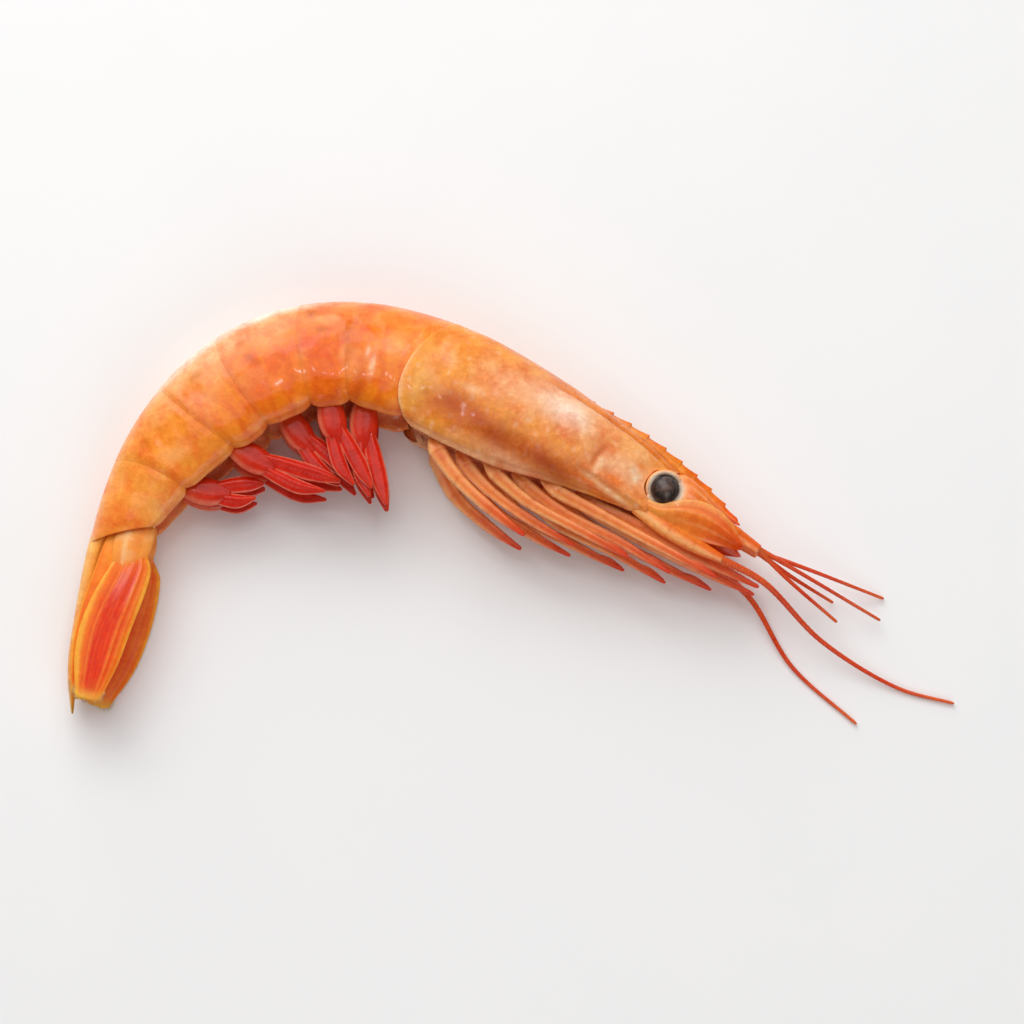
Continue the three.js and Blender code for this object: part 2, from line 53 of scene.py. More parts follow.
# Sections: place along the middle line, top, bottom, half width, height as it lies, all in mm.
TRUNK = np.array([
    [-47, 7.4, -4.4, 4.8, 8.6], [-40, 8.3, -6.1, 6.7, 8.9], [-30, 9.1, -8.5, 8.7, 9.3],
    [-15, 10.2, -11.3, 10.1, 9.75], [-5, 11, -11.5, 10.1, 9.75], [6, 11.6, -10.5, 9.8, 9.45]])
TAIL = np.array([
    [-2, 11.4, -10.2, 9.5, 9.5], [8, 11.7, -9.6, 9.5, 9.2], [18, 11.8, -9.2, 9.3, 8.95],
    [30, 11.3, -10, 9, 8.65], [45, 10.4, -10.2, 8.3, 7.95], [58, 9.6, -6.6, 6.9, 7],
    [76, 8, -2.8, 4.9, 6], [106, 8, -2.8, 4.9, 5.2]])
SHELL_SHARE = 0.8  # of the way round; the rest is the open underside
# Joints behind the shield and the rings: bulge, its level, reach above and below it.
JOINTS = ((5.3, -3.9, 14.9, 8), (3.3, 0, 11.6, 14), (1.5, 0, 11.6, 12), (1.6, -1, 12, 11),
          (0.8, 0, 10.5, 11), (-1, 2, 8, 9))
LAST_JOINT, LAST_SLANT = 70.9, 0.5
EYE = (-46.7, 2.5, 4.4)  # its middle along, across and up, which sets the body's place


def along(table, column, s):
    """Value of a column of the table at s: a cubic through the rows whose slopes join smoothly."""
    x, y = np.asarray(table, float)[:, 0], np.asarray(table, float)[:, column]
    slope = np.empty_like(y)
    slope[1:-1] = (y[2:] - y[:-2]) / (x[2:] - x[:-2])
    slope[0], slope[-1] = (y[1] - y[0]) / (x[1] - x[0]), (y[-1] - y[-2]) / (x[-1] - x[-2])
    s = np.clip(s, x[0], x[-1])
    i = np.clip(np.searchsorted(x, s, side="right") - 1, 0, len(x) - 2)
    step = x[i + 1] - x[i]
    t = (s - x[i]) / step
    ends = y[i] * (1 + 2 * t) * (1 - t) ** 2 + y[i + 1] * (3 - 2 * t) * t ** 2
    return ends + step * t * (1 - t) * (slope[i] * (1 - t) - slope[i + 1] * t)


def middle_line(s):
    """x, y and slope of the middle line at s: arcs of even bend end to end, then a straight run."""
    x, y, slope = np.zeros_like(s), np.zeros_like(s), np.full_like(s, SLOPE)
    for way, arcs in ((1, RING_ARCS), (-1, SHIELD_ARCS)):
        left = np.clip(way * s, 0, None)
        for length, bend in arcs:
            run = np.minimum(left, length)
            turned = slope - way * bend / length * run
            x = x + (np.sin(turned) - np.sin(slope)) * length / bend
            y = y + (np.cos(turned) - np.cos(slope)) * length / bend
            slope, left = turned, left - run
        x = x - way * left * np.cos(slope)
        y = y + way * left * np.sin(slope)
    return x, y, slope


def bell(x, at, wide, power=2):
    """1 at a place, falling off to both sides as a bell curve; a higher power flattens its top."""
    return np.exp(-((x - at) / wide) ** power)


def ease(low, high, x):
    """0 below low, 1 above high, and an even S curve between them."""
    t = np.clip((x - low) / (high - low), 0, 1)
    return t * t * (3 - 2 * t)


def place(s, n, side, shift=(0, 0, 0)):
    """Metres from body coordinates: n across the middle line towards the back, side straight up
    from the lying height, eased to zero where the floor presses the shell flat."""
    s, n, side = np.broadcast_arrays(*(np.asarray(v, float) for v in (s, n, side)))
    x, y, slope = middle_line(s)
    z = along(TRUNK, 4, s) + (along(TAIL, 4, s) - along(TRUNK, 4, s)) * ease(-5, 5, s) + side
    z = (z + np.sqrt(z ** 2 + 0.1)) / 2
    return (np.stack([x + n * np.sin(slope), y + n * np.cos(slope), z], -1) + shift) * MM


eye_middle = (np.array(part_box("eye_right")[0]) + np.array(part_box("eye_right")[1])) / 2 / MM
SHIFT = (eye_middle - place(*EYE) / MM) * (1, 1, 0)


def body(s, n, side):
    """Metres in the shared frame from body coordinates."""
    return place(s, n, side, SHIFT)


def section(table, groove, s, u):
    """Height and side of the trunk's section, u from -1 to 1 round it: an oval shell for the
    shell's share of the way, then a groove between its lower edges. v is the way down the shell
    and turn the angle into the groove."""
    top, bottom, half = (along(table, column, s) for column in (1, 2, 3))
    v = np.clip(np.abs(u) / SHELL_SHARE, 0, 1)
    turn = np.clip((np.abs(u) - SHELL_SHARE) / (1 - SHELL_SHARE), 0, 1) * np.pi / 2
    n = (top + bottom) / 2 + (top - bottom) / 2 * np.cos(np.pi * v)
    n = np.where(turn > 0, bottom + groove * np.sin(turn) ** 0.6, n)
    side = np.sign(u) * half * np.sin(np.pi * SHELL_SHARE * v) ** 0.9 * np.cos(turn)
    return n, side, v, turn


def joint_at(i, n):
    """s of joint i at height n: a parabola that bulges towards the tail, straight at the last."""
    if i == len(JOINTS):
        return LAST_JOINT + LAST_SLANT * n
    bulge, level, above, below = JOINTS[i]
    away = (n - level) / np.where(n > level, above, below)
    return sum(RING_LENGTHS[:i]) + bulge * (1 - away ** 2)


def linear(colour):
    """Linear red, green and blue of an sRGB hex colour."""
    c = np.array([int(colour[k:k + 2], 16) for k in (1, 3, 5)]) / 255
    return np.where(c <= 0.04045, c / 12.92, ((c + 0.055) / 1.055) ** 2.4)


def tinted(tint, *layers):
    """The tint moved towards one colour after another, each by its share, which may differ from
    point to point. The layers are given as colour, share, colour, share."""
    for colour, share in zip(layers[::2], layers[1::2]):
        tint = tint + (linear(colour) - tint) * np.clip(share, 0, 1)[..., None]
    return tint


def tint_along(stops, x):
    """Tint at x, straight between the stops, each a place and a hex colour."""
    colours = np.array([linear(colour) for _, colour in stops])
    return np.stack([np.interp(x, [at for at, _ in stops], colours[:, k]) for k in range(3)], -1)


def patched(tint, s, n, patches):
    """The tint with soft oval patches: each fades out from its middle as a bell curve."""
    for at_s, at_n, wide, high, colour, share in patches:
        far = ((s - at_s) / wide) ** 2 + ((n - at_n) / high) ** 2
        tint = tinted(tint, colour, share * np.exp(-far))
    return tint


def unit(ways):
    """The same directions at length one: each vector over its own length."""
    return ways / (np.linalg.norm(ways, axis=-1, keepdims=True) + 1e-12)


def ripples(points, size, seed):
    """Soft unevenness between about -1 and 1: twenty waves of one length in random directions."""
    random = np.random.default_rng(seed)
    way = unit(random.normal(size=(20, 3)))
    waves = np.sin(points @ way.T * (2 * np.pi / (size * MM)) + random.uniform(0, 2 * np.pi, 20))
    return waves.sum(-1) / 20 ** 0.5


def raised(points, height):
    """Grid of points moved out along its own normal by a height in millimetres. The normal is the
    cross product of the grid's two directions; nothing goes below the floor."""
    round_it = np.roll(points, -1, axis=1) - np.roll(points, 1, axis=1)
    normal = unit(np.cross(round_it, np.gradient(points, axis=0)))
    away = points - points.mean(axis=1, keepdims=True)
    outward = np.sign(np.sum(normal * away, axis=(1, 2)))[:, None, None]
    moved = points + normal * outward * height[..., None] * MM
    moved[..., 2] = np.maximum(moved[..., 2], FLOOR_GAP)
    return moved


def closed(grid, tint, last=None):
    """Closed surface from rings of points: quads between rings, a fan to a point at each end. Its
    faces are turned out if the volume inside comes out negative."""
    rows, count = grid.shape[:2]
    tint = np.broadcast_to(tint, grid.shape)
    last = grid[-1].mean(0) if last is None else last
    points = np.concatenate([[grid[0].mean(0)], grid.reshape(-1, 3), [last]])
    tints = np.concatenate([[tint[0].mean(0)], tint.reshape(-1, 3), [tint[-1].mean(0)]])
    a = 1 + np.arange(rows - 1)[:, None] * count + np.arange(count)
    b = 1 + np.arange(rows - 1)[:, None] * count + (np.arange(count) + 1) % count
    quads = np.stack([a, b, b + count, a + count], -1).reshape(-1, 4)
    j, k = np.arange(count), (np.arange(count) + 1) % count
    end = 1 + (rows - 1) * count
    fans = np.concatenate([np.stack([j * 0, 1 + k, 1 + j], -1),
                           np.stack([j * 0 + len(points) - 1, end + j, end + k], -1)])
    corners = np.concatenate([quads[:, :3], quads[:, [0, 2, 3]], fans])
    p, q, r = (points[corners[:, k]] - points[0] for k in range(3))
    if np.sum(p * np.cross(q, r)) < 0:
        quads, fans = quads[:, ::-1], fans[:, ::-1]
    return points, quads, fans, tints


def shrimp_piece(name, parts, material):
    """One object from closed surfaces, smooth, with the tint of each point kept as an attribute."""
    starts = np.cumsum([0] + [len(part[0]) for part in parts])
    points, tints = (np.concatenate([part[k] for part in parts]) for k in (0, 3))
    quads, fans = (np.concatenate([part[k] + start for part, start in zip(parts, starts)])
                   for k in (1, 2))
    mesh = bpy.data.meshes.new(name)
    mesh.vertices.add(len(points))
    mesh.vertices.foreach_set("co", points.astype(np.float32).ravel())
    mesh.loops.add(quads.size + fans.size)
    mesh.loops.foreach_set("vertex_index", np.concatenate([quads.ravel(), fans.ravel()]))
    mesh.polygons.add(len(quads) + len(fans))
    mesh.polygons.foreach_set("loop_start", np.concatenate([
        np.arange(len(quads)) * 4, quads.size + np.arange(len(fans)) * 3]))
    mesh.polygons.foreach_set("use_smooth", np.ones(len(quads) + len(fans), bool))
    mesh.update(calc_edges=True)
    mesh.validate()
    kept = mesh.attributes.new("Tint", "FLOAT_COLOR", "POINT")
    rgba = np.concatenate([np.clip(tints, 0, 1), np.ones((len(tints), 1))], 1)
    kept.data.foreach_set("color", rgba.astype(np.float32).ravel())
    mesh.materials.append(material)
    piece = bpy.data.objects.new(name, mesh)
    bpy.context.scene.collection.objects.link(piece)
    return piece


def add_node(tree, kind, settings=(), sockets=()):
    """Adds one node. Settings are its own choices; a socket takes a value or a link."""
    node = tree.nodes.new(kind)
    for key, value in dict(settings).items():
        setattr(node, key, value)
    for key, value in dict(sockets).items():
        if isinstance(value, bpy.types.NodeSocket):
            tree.links.new(value, node.inputs[key])
        else:
            node.inputs[key].default_value = value
    return node


def wet_chitin(name, blotch, blotch_share, dot, dot_share, gloss=0.4, flesh=0.25, bump=1.0,
               coat=0.4, mottle=0.3, net_depth=0.12):
    """Wet raw shell. Its tint comes from the piece; soft 5 mm blotches and a faint net of 3 mm
    cells deepen it, 1 mm clouds pale it, and pigment dots of 0.1 to 0.2 mm lie 0.5 mm apart. The
    eye gets an orange glow from the flesh under a thin clear layer, and broken wet lights."""
    material = bpy.data.materials.new(name)
    material.use_nodes = True
    tree = material.node_tree
    shader = tree.nodes["Principled BSDF"]
    place_on = add_node(tree, "ShaderNodeTexCoord").outputs["Object"]
    colour = add_node(tree, "ShaderNodeAttribute", {"attribute_name": "Tint"}).outputs["Color"]
    clouds, grain, swell, skin = (add_node(tree, "ShaderNodeTexNoise", (), {
        "Vector": place_on, "Scale": 1 / (size * MM), "Detail": detail, "Roughness": rough})
        for size, detail, rough in ((5, 4.0, 0.62), (1.1, 4.0, 0.65), (2.2, 3.0, 0.5),
                                    (0.45, 2.0, 0.5)))
    bent = add_node(tree, "ShaderNodeVectorMath", {"operation": "MULTIPLY_ADD"}, {
        0: clouds.outputs["Color"], 1: (4 * MM, 4 * MM, 4 * MM), 2: place_on}).outputs["Vector"]
    net = add_node(tree, "ShaderNodeTexVoronoi", {"feature": "DISTANCE_TO_EDGE"}, {
        "Vector": bent, "Scale": 1 / (3 * MM)})
    deep = (*linear(blotch), 1)
    for value, low, high, at_low, at_high, veil in (
            (clouds.outputs["Fac"], 0.45, 0.7, 0.0, blotch_share, deep),
            (net.outputs["Distance"], 0.0, 0.14, net_depth, 0.0, deep),
            (grain.outputs["Fac"], 0.48, 0.68, 0.0, mottle, (1.35, 1.5, 1.5, 1))):
        share = add_node(tree, "ShaderNodeMapRange", (), {
            "Value": value, "From Min": low, "From Max": high, "To Min": at_low, "To Max": at_high})
        colour = add_node(tree, "ShaderNodeMix", {"data_type": "RGBA", "blend_type": "MULTIPLY"}, {
            0: share.outputs["Result"], 6: colour, 7: veil}).outputs[2]
    cells = add_node(tree, "ShaderNodeTexVoronoi", {"feature": "F1"}, {
        "Vector": place_on, "Scale": 1 / (0.55 * MM)})
    spot = add_node(tree, "ShaderNodeMapRange", (), {
        "Value": cells.outputs["Distance"], "From Min": 0.14, "From Max": 0.36,
        "To Min": dot_share, "To Max": 0.0})
    where = add_node(tree, "ShaderNodeMath", {"operation": "MULTIPLY"}, {
        0: spot.outputs["Result"], 1: clouds.outputs["Fac"]})
    colour = add_node(tree, "ShaderNodeMix", {"data_type": "RGBA"}, {
        0: where.outputs[0], 6: colour, 7: (*linear(dot), 1)}).outputs[2]
    wet = add_node(tree, "ShaderNodeMapRange", (), {
        "Value": grain.outputs["Fac"], "From Min": 0.38, "From Max": 0.62,
        "To Min": gloss - 0.16, "To Max": gloss + 0.2})
    large = add_node(tree, "ShaderNodeBump", (), {
        "Strength": 0.6, "Distance": 0.5 * MM * bump, "Height": swell.outputs["Fac"]})
    fine = add_node(tree, "ShaderNodeBump", (), {
        "Strength": 0.5, "Distance": 0.07 * MM * bump, "Height": skin.outputs["Fac"],
        "Normal": large.outputs["Normal"]})
    tree.links.new(colour, shader.inputs["Base Color"])
    tree.links.new(wet.outputs["Result"], shader.inputs["Roughness"])
    tree.links.new(fine.outputs["Normal"], shader.inputs["Normal"])
    for key, value in (("IOR", 1.38), ("Specular IOR Level", 0.2), ("Subsurface Weight", flesh),
                       ("Subsurface Radius", (1.0, 0.5, 0.3)), ("Subsurface Scale", 0.6 * MM),
                       ("Coat Weight", coat), ("Coat Roughness", 0.1)):
        shader.inputs[key].default_value = value
    return material


TAIL_TINTS = ((-2, "#f28a18"), (10, "#f2800c"), (22, "#f27806"), (35, "#f4800c"), (46, "#f48a20"),
              (58, "#fa9a32"), (70, "#f99636"), (88, "#f49a3a"))
# Soft patches of tint: place along and across, half length, half height, colour, share.
TAIL_SPOTS = (
    (23, 8.6, 1.2, 1.1, "#c45a00", 0.85), (21.5, 4.8, 1.1, 0.9, "#bc5200", 0.75),
    (34.3, 6.2, 1.3, 1.1, "#d46c00", 0.8), (34.2, 2.8, 0.9, 1, "#bc5400", 0.7),
    (42.9, 5.9, 1.5, 0.9, "#d07400", 0.75), (56.5, 5.4, 1.3, 1.2, "#dc7c00", 0.7),
    (17.3, 3.5, 1.2, 4, "#cc620f", 0.5), (14, -6, 1.4, 4, "#c85c10", 0.5),
    (22, -3, 3, 4.5, "#ea6000", 0.75), (29, -2, 2.4, 4, "#ea6c0c", 0.5),
    (35.5, -4, 2.6, 4, "#ec6602", 0.8), (8, 3, 2.6, 3, "#fbac5a", 0.6),
    # The two near-white specks on the first ring are painted glints.
    (11.9, -1.6, 0.6, 2.2, "#ffdcb4", 0.7), (13.1, 0.6, 0.4, 1.1, "#ffe0c0", 0.6),
    (7, -4, 3, 3, "#e87a18", 0.5), (62, 1, 3, 5, "#f8a245", 0.5), (66, -3, 3, 3, "#fdb468", 0.6),
    (50, -3, 4, 4, "#f68a28", 0.5), (45, 1, 3, 2.2, "#fbb070", 0.5),
    (30, 5, 2.2, 2, "#fbae6a", 0.5), (68, -5.6, 5, 1.8, "#e05a20", 0.5))
TUCK, LAP = 0.9, 0.4
tail_shell = wet_chitin("wet shrimp shell, tail", "#ee8020", 0.6, "#d0500c", 0.3)


def tail_ring(i):
    """Sleeve i: a row is a share of the way between its joints and a size. The front tucks in
    under the ring before, the rear laps over the next one and turns under."""
    length = RING_LENGTHS[i]
    tuck, lap = -TUCK / length, 1 + (LAP / length if i < 5 else 0)
    run = np.linspace(0, 1, 54)
    out_share = tuck + (lap - tuck) * run
    size = 0.996 + 0.008 * np.clip(out_share, 0, 1) ** 0.5 - 0.02 * ease(0.01, tuck, out_share)
    turn = np.linspace(0.15, 1, 5) * np.pi
    share = np.concatenate([np.full(3, tuck), out_share, lap + 0.1 * np.sin(turn) / length,
                            [lap - 1.2 / length] * 3])
    size = np.concatenate([[0.1, 0.6, 0.95], size, 1.004 - 0.007 * (1 - np.cos(turn)),
                           [0.98, 0.6, 0.1]])
    u = np.linspace(-1, 1, 180, endpoint=False)[None, :]
    share, size = share[:, None], size[:, None]
    level = joint_at(i, 0) + (joint_at(i + 1, 0) - joint_at(i, 0)) * share
    middle = (along(TAIL, 1, level) + along(TAIL, 2, level)) / 2
    n, side, v, turn = section(TAIL, 3.6, level, u)
    lobe = 1.5 * np.abs(2 * np.clip(share, 0, 1) - 1) ** 4 * v ** 8
    n = middle + (n - middle + lobe) * size
    s = joint_at(i, n) + (joint_at(i + 1, n) - joint_at(i, n)) * share
    points = body(s, n, side * size)
    outer = ease(0.94, 0.965, size) * ease(1, 0.75, turn / (np.pi / 2))
    facet = bell(share, 0.2, 0.03) * ease(1, 0.6, v) * ease(0.05, 0.35, v)
    rim = bell(v, 0.955, 0.02) * (turn == 0)
    dent = ripples(points, 9, 11) * 0.1 + ripples(points, 3.5, 12) * 0.04
    dent = dent * ease(0, 0.2, share) * ease(1, 0.85, share) * ease(0, 0.25, v)
    points = raised(points, (dent - 0.03 * facet + 0.14 * rim) * outer)
    tint = tint_along(TAIL_TINTS, s)
    wave = ripples(points, 12, 13)
    streak = ease(0.2, 0.9, np.sin(2 * np.pi * s / 4.6 + 1.6 * wave)) * ease(0.2, 0.45, v)
    # Along the back: a pale band, partly the back's own paler tone and partly painted highlight,
    # and inside it a near-white rim that is painted highlight.
    tint = tinted(
        tint, "#e05800", 0.45 * streak * ease(52, 40, s),
        "#fcb26c", 0.3 * ease(0.3, 1.2, ripples(points, 7, 14)),
        "#ffce98", (0.1 + 0.7 * bell(s, 37, 12)) * ease(0.42, 0.22, v),
        "#fff4e6", (0.1 + 0.7 * bell(s, 35, 12, 4)) * ease(0.23, 0.12, v) * ease(0.03, 0.08, v),
        "#ef9c66", 0.5 * ease(0.84, 1, v))
    tint = patched(tint, s, n, TAIL_SPOTS)
    tint = tinted(
        tint, "#e8740f", 0.4 * bell(share, 1, 0.09) * ease(0.1, 0.3, v),
        "#cc6a20", 0.3 * bell(share, 1, 0.012),
        "#e99262", 0.8 * (turn > 0))
    return closed(points, tint)


for i in range(6):
    ring = shrimp_piece(f"tail_ring_{i + 1}", [tail_ring(i)], tail_shell)
    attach(ring, "root")
    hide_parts(f"ring_{i + 1}")

# Head shield: one stiff sleeve of shell over the head and gills, open in front round the eyes,
# with a thin toothed beak of the same shell that grows out of its ridge. The olive and brown
# organs show through it.
SHIELD_LENGTH, SHIELD_FRONT, SNOUT = 46, -46.5, -42.9
SHIELD_GROOVE, REAR_CORNER = 5.2, 2.4
BEAK_TIP, BEAK_ROOT, TOOTH_PITCH, TOOTH = -61, -24, 3.7, 0.45
# Patches of tint, their values in the order of the tail's.
HEAD_PATCHES = (
    (-4, 7.5, 8, 3, "#fb9c40", 0.6), (1, -4.6, 2.6, 3.6, "#d68c2a", 0.7),
    (-5.6, -4.6, 4.4, 2.5, "#b04000", 0.95), (-9.5, -5.4, 7, 3.4, "#c85c0c", 0.6),
    (-15.8, -6.9, 6, 2.8, "#ac4008", 0.9), (-27, -6.6, 6.6, 2.5, "#a83a08", 0.9),
    (-31, -3.4, 4, 1.6, "#c45c14", 0.6),
    # The near-white patch at -25 along, 4 across is a painted highlight.
    (-20, 5.6, 8, 3.6, "#fcc098", 0.8), (-25, 4, 5, 2.8, "#ffe2cc", 0.9),
    (-31, 5.5, 4, 2, "#fcb47c", 0.6), (-33.5, -0.6, 1.5, 2.8, "#d06c20", 0.5),
    (-39.5, 1.2, 5, 3.4, "#ffbd8c", 0.8), (2.6, -3, 1.2, 6, "#f0b468", 0.4),
    (-20, -9.6, 9, 1.3, "#f2ac80", 0.7), (-36, 5.6, 5, 1.4, "#ffb877", 0.6),
    (-1.5, 3.2, 1.4, 1.2, "#f8c890", 0.5), (-7.6, -0.6, 2.2, 0.9, "#fccca0", 0.5),
    (-14, 8, 5, 1.6, "#f09440", 0.6), (-10, 4.6, 4, 2, "#f6ac74", 0.6),
    (-14.5, 2.6, 5.5, 3, "#f9b488", 0.55), (-36, -0.8, 6, 2.8, "#fcb48a", 0.5),
    (-33.3, -0.8, 0.6, 1.9, "#c85e10", 0.75), (-34.5, -1.5, 0.55, 2.1, "#ffdcb0", 0.85),
    (-38.3, -1.9, 2, 0.9, "#f2801c", 0.8), (-38.5, -4.3, 5, 0.45, "#ffd6a4", 0.9),
    (-35.5, -5.4, 4.6, 0.7, "#e0600c", 0.75), (-40.2, 1.7, 0.7, 0.8, "#ffe0ba", 0.85),
    (-41.3, 0.9, 0.7, 0.9, "#ffe0ba", 0.85), (-40.8, 3.4, 0.9, 0.8, "#e87c24", 0.7))
head_shell = wet_chitin("wet shrimp shell, head", "#e28430", 0.6, "#b85a20", 0.25, gloss=0.36,
                        flesh=0.12, coat=0.25, mottle=0.45, net_depth=0.04)


def shield_groove(share):
    """Depth of the open underside of the shield, deeper towards the rear."""
    return SHIELD_GROOVE * (0.45 + 0.55 * share ** 0.5)


def once_round(count):
    """Angles once round a section, as a row."""
    return np.linspace(0, 2 * np.pi, count, endpoint=False)[None, :]


def head_relief(s, n, v):
    """Height in millimetres: a low ridge down the back, a groove beside it, a ridge from the cheek
    to the front corner, a V groove behind the cheek and a raised rim along the lower edge."""
    back = 0.3 * bell(v, 0, 0.05) * ease(-30, -22, s) * ease(-1, -6, s)
    beside = -0.25 * bell(v, 0.2, 0.022) * ease(-46, -42, s) * ease(-14, -24, s)
    cheek_n = -3.1 + (s + 32.9) * -0.047
    cheek = 0.4 * bell(n, cheek_n, 0.55) * ease(-31, -35, s)
    under = -0.25 * bell(n, cheek_n - 1.3, 0.6) * ease(-31, -35, s)
    vee = -0.25 * bell(s + 0.25 * np.abs(n + 0.8), -33.2, 0.9) * bell(n, -0.8, 2.4)
    neck = -0.3 * bell(s - 0.5 * (n - 2), -24, 1.2) * bell(n, 3, 3.2)
    edge = 0.22 * bell(v, 0.95, 0.022) * ease(-45, -38, s)
    inside = -0.15 * bell(v, 0.9, 0.02) * ease(-45, -38, s)
    return back + beside + cheek + under + vee + neck + edge + inside


def head_sleeve():
    """Rows run from the snout between the eyes, over the notched front edge, down the length to
    the rear joint, where the shell laps over the first ring and turns under."""
    face = np.concatenate([np.linspace(0.04, 0.78, 22), np.linspace(0.8, 0.995, 22)])
    run = np.linspace(0, 1, 200) ** 1.15
    turn = np.linspace(0.15, 1, 5) * np.pi
    share = np.concatenate([face * 0, run, np.ones(8)])[:, None]
    size = np.concatenate([face, run * 0 + 1, 1 - 0.012 * (1 - np.cos(turn)), [0.965, 0.6, 0.1]])
    size = size[:, None]
    extra = np.concatenate([face * 0, 0.55 * ease(0.9, 1, run), 0.55 + 0.16 * np.sin(turn),
                            [-0.8] * 3])[:, None]
    u = np.linspace(-1, 1, 200, endpoint=False)[None, :]
    level = SHIELD_FRONT + (joint_at(0, 0) - SHIELD_FRONT) * share
    middle = (along(TRUNK, 1, level) + along(TRUNK, 2, level)) / 2
    n, side, v, turned = section(TRUNK, shield_groove(share), level, u)
    n = middle + (n - middle) * size
    notch = 3.6 * bell(v, 0.43, 0.2, 4) + 3.5 * ease(0.75, 1, v)
    snout = 6.5 * np.clip(1 - (size / 0.45) ** 2, 0, None)
    beside_eye = SHIELD_FRONT + notch
    front = SNOUT - snout
    front = front + (beside_eye - front) * ease(0.8, 1, size)
    corner = REAR_CORNER * ease(0.84, 1, v) ** 2
    s = front + (joint_at(0, n) - 0.15 - corner - front) * share + extra
    points = body(s, n, side * size)
    outer = (size > 0.99) * ease(1, 0.75, turned / (np.pi / 2)) * ease(0, 0.01, share)
    dent = ripples(points, 11, 21) * 0.12 + ripples(points, 4, 22) * 0.05
    dent = dent * ease(1, 0.93, share) * ease(0, 0.2, v)
    lip = 0.06 * bell(share, 0, 0.012) * (size > 0.99)
    flare = 0.16 * ease(0.7, 1, share) * (size > 0.97)
    points = raised(points, (dent + head_relief(s, n, v)) * outer + lip + flare)
    tint = tint_along(((-50, "#f79c44"), (-38, "#f79e48"), (-25, "#f29844"), (-10, "#ee9438"),
                       (6, "#f09430")), s)
    tint = tinted(
        tint, "#fcbc88", 0.3 * ease(0.2, 1.1, ripples(points, 6, 23)),
        "#ffd0ac", 0.35 * ease(0.6, 1.6, ripples(points, 1.9, 24)))
    tint = patched(tint, s, n, HEAD_PATCHES)
    band = ease(0.21, 0.19, v) * ease(-16, -26, s) + ease(0.16, 0.05, v) * ease(2, -12, s)
    tint = tinted(
        tint, "#ea7c18", 0.7 * np.clip(band, 0, 1),
        "#b85410", 0.5 * bell(v, 0.2, 0.01) * ease(-16, -28, s),
        "#f2b890", 0.7 * ease(0.82, 0.96, v) * ease(-36, -12, s),
        "#fad0a0", 0.5 * ease(0.5, 0.6, extra) * ease(0.3, 0.6, v),
        "#f4a468", 0.9 * (size < 0.99) * (share == 0),
        "#e9a17a", 0.8 * (turned > 0))
    return closed(points, tint)


def beak():
    """Blade that rises out of the shield and runs to the tip: crest and keel heights from two
    curves, with nine teeth, each a slow rise towards the tip and a steep drop before the next."""
    crest = ((BEAK_TIP, 6.6), (-55, 8), (-50, 8.8), (-45, 9.3), (-37, 9.6), (BEAK_ROOT, 9.3))
    keel = ((BEAK_TIP, 6.2), (-56, 5.2), (-52, 5.7), (-47, 6.1), (-36, 7.2), (BEAK_ROOT, 8.2))
    s = np.linspace(BEAK_ROOT + 1, BEAK_TIP, 340)[:, None]
    turn = once_round(28)
    step = ((BEAK_ROOT - s) / TOOTH_PITCH) % 1 * (s < BEAK_ROOT)
    tooth = TOOTH * np.where(step < 0.8, (step / 0.8) ** 1.7, ease(0.9, 0.8, step))
    tooth = tooth * ease(-60.9, -59.5, s) * ease(BEAK_ROOT, BEAK_ROOT - 2, s)
    high, low = along(crest, 1, s), along(keel, 1, s)
    rise = (1 + np.cos(turn)) / 2
    root = ease(BEAK_ROOT + 1, BEAK_ROOT, s) * (1 + 0.9 * ease(-50, -38, s))
    thick = np.maximum(1.3 * ease(-67, -44, s), 0.25) * (1 - 0.86 * rise ** 0.8) * root
    groove = 1 - 0.25 * bell(rise, 0.3, 0.12)
    n = low + (high - low) * rise + tooth * rise ** 3
    points = body(s - 0.35 * tooth * rise ** 4, n, 1.25 * thick * groove * np.sin(turn))
    tint = tint_along(((BEAK_TIP, "#ee5c14"), (-54, "#f07818"), (-44, "#f28a20"),
                       (BEAK_ROOT, "#ee8420")), s)
    tint = tinted(
        tint, "#ea640c", 0.4 * ease(0.8, 1, rise),
        "#ffb060", 0.5 * bell(rise, 0.62, 0.1),
        "#c8560c", 0.5 * bell(rise, 0.3, 0.07))
    return closed(points, tint, last=body(BEAK_TIP - 0.3, 6.4, 0))


shield = shrimp_piece("head_shell_and_beak", [head_sleeve(), beak()], head_shell)
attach(shield, "root")
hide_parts("head_shield")

# Breast: the soft underside between the edges of the head shield, pale flesh under thin skin,
# with one pair of knobs for each pair of legs to grow from.
BREAST_FROM, BREAST_TO, BREAST_INSET, SIDE_GAP = -36, 1.5, 1.9, 0.8
FIRST_LEG, LEG_PITCH = -26.5, 5.75
breast_skin = wet_chitin("wet shrimp flesh and skin", "#e58a58", 0.5, "#c2481d", 0.3, gloss=0.38,
                         flesh=0.3)


def breast():
    """Lens between the shield's lower edges: an arched roof above, and below a floor that swells
    into a knob at each pair of legs."""
    share, turn = np.linspace(0, 1, 110)[:, None], once_round(72)
    s = BREAST_FROM + (BREAST_TO - BREAST_FROM) * share
    close = np.sqrt(np.maximum(1 - (2 * share - 1) ** 6, 0.02))
    half = (along(TRUNK, 3, s) * np.sin(np.pi * SHELL_SHARE) ** 0.9 - SIDE_GAP) * close
    roof = shield_groove(1 + s / SHIELD_LENGTH) - SIDE_GAP - BREAST_INSET
    wave = np.cos(2 * np.pi * (s - FIRST_LEG) / LEG_PITCH)
    swell = np.where(np.sin(turn) > 0, roof, -0.5 * (0.5 + wave)) * close
    n = along(TRUNK, 2, s) + BREAST_INSET + swell * np.abs(np.sin(turn)) ** 0.7
    tint = tint_along(((BREAST_FROM, "#f09a60"), (0, "#f0a068")), s)
    tint = tinted(tint, "#d2602c", 0.5 * ease(0.2, -0.6, wave))
    return closed(body(s, n, half * np.cos(turn)), tint)


trough = shrimp_piece("breast_skin", [breast()], breast_skin)
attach(trough, "root")
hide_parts("breast")
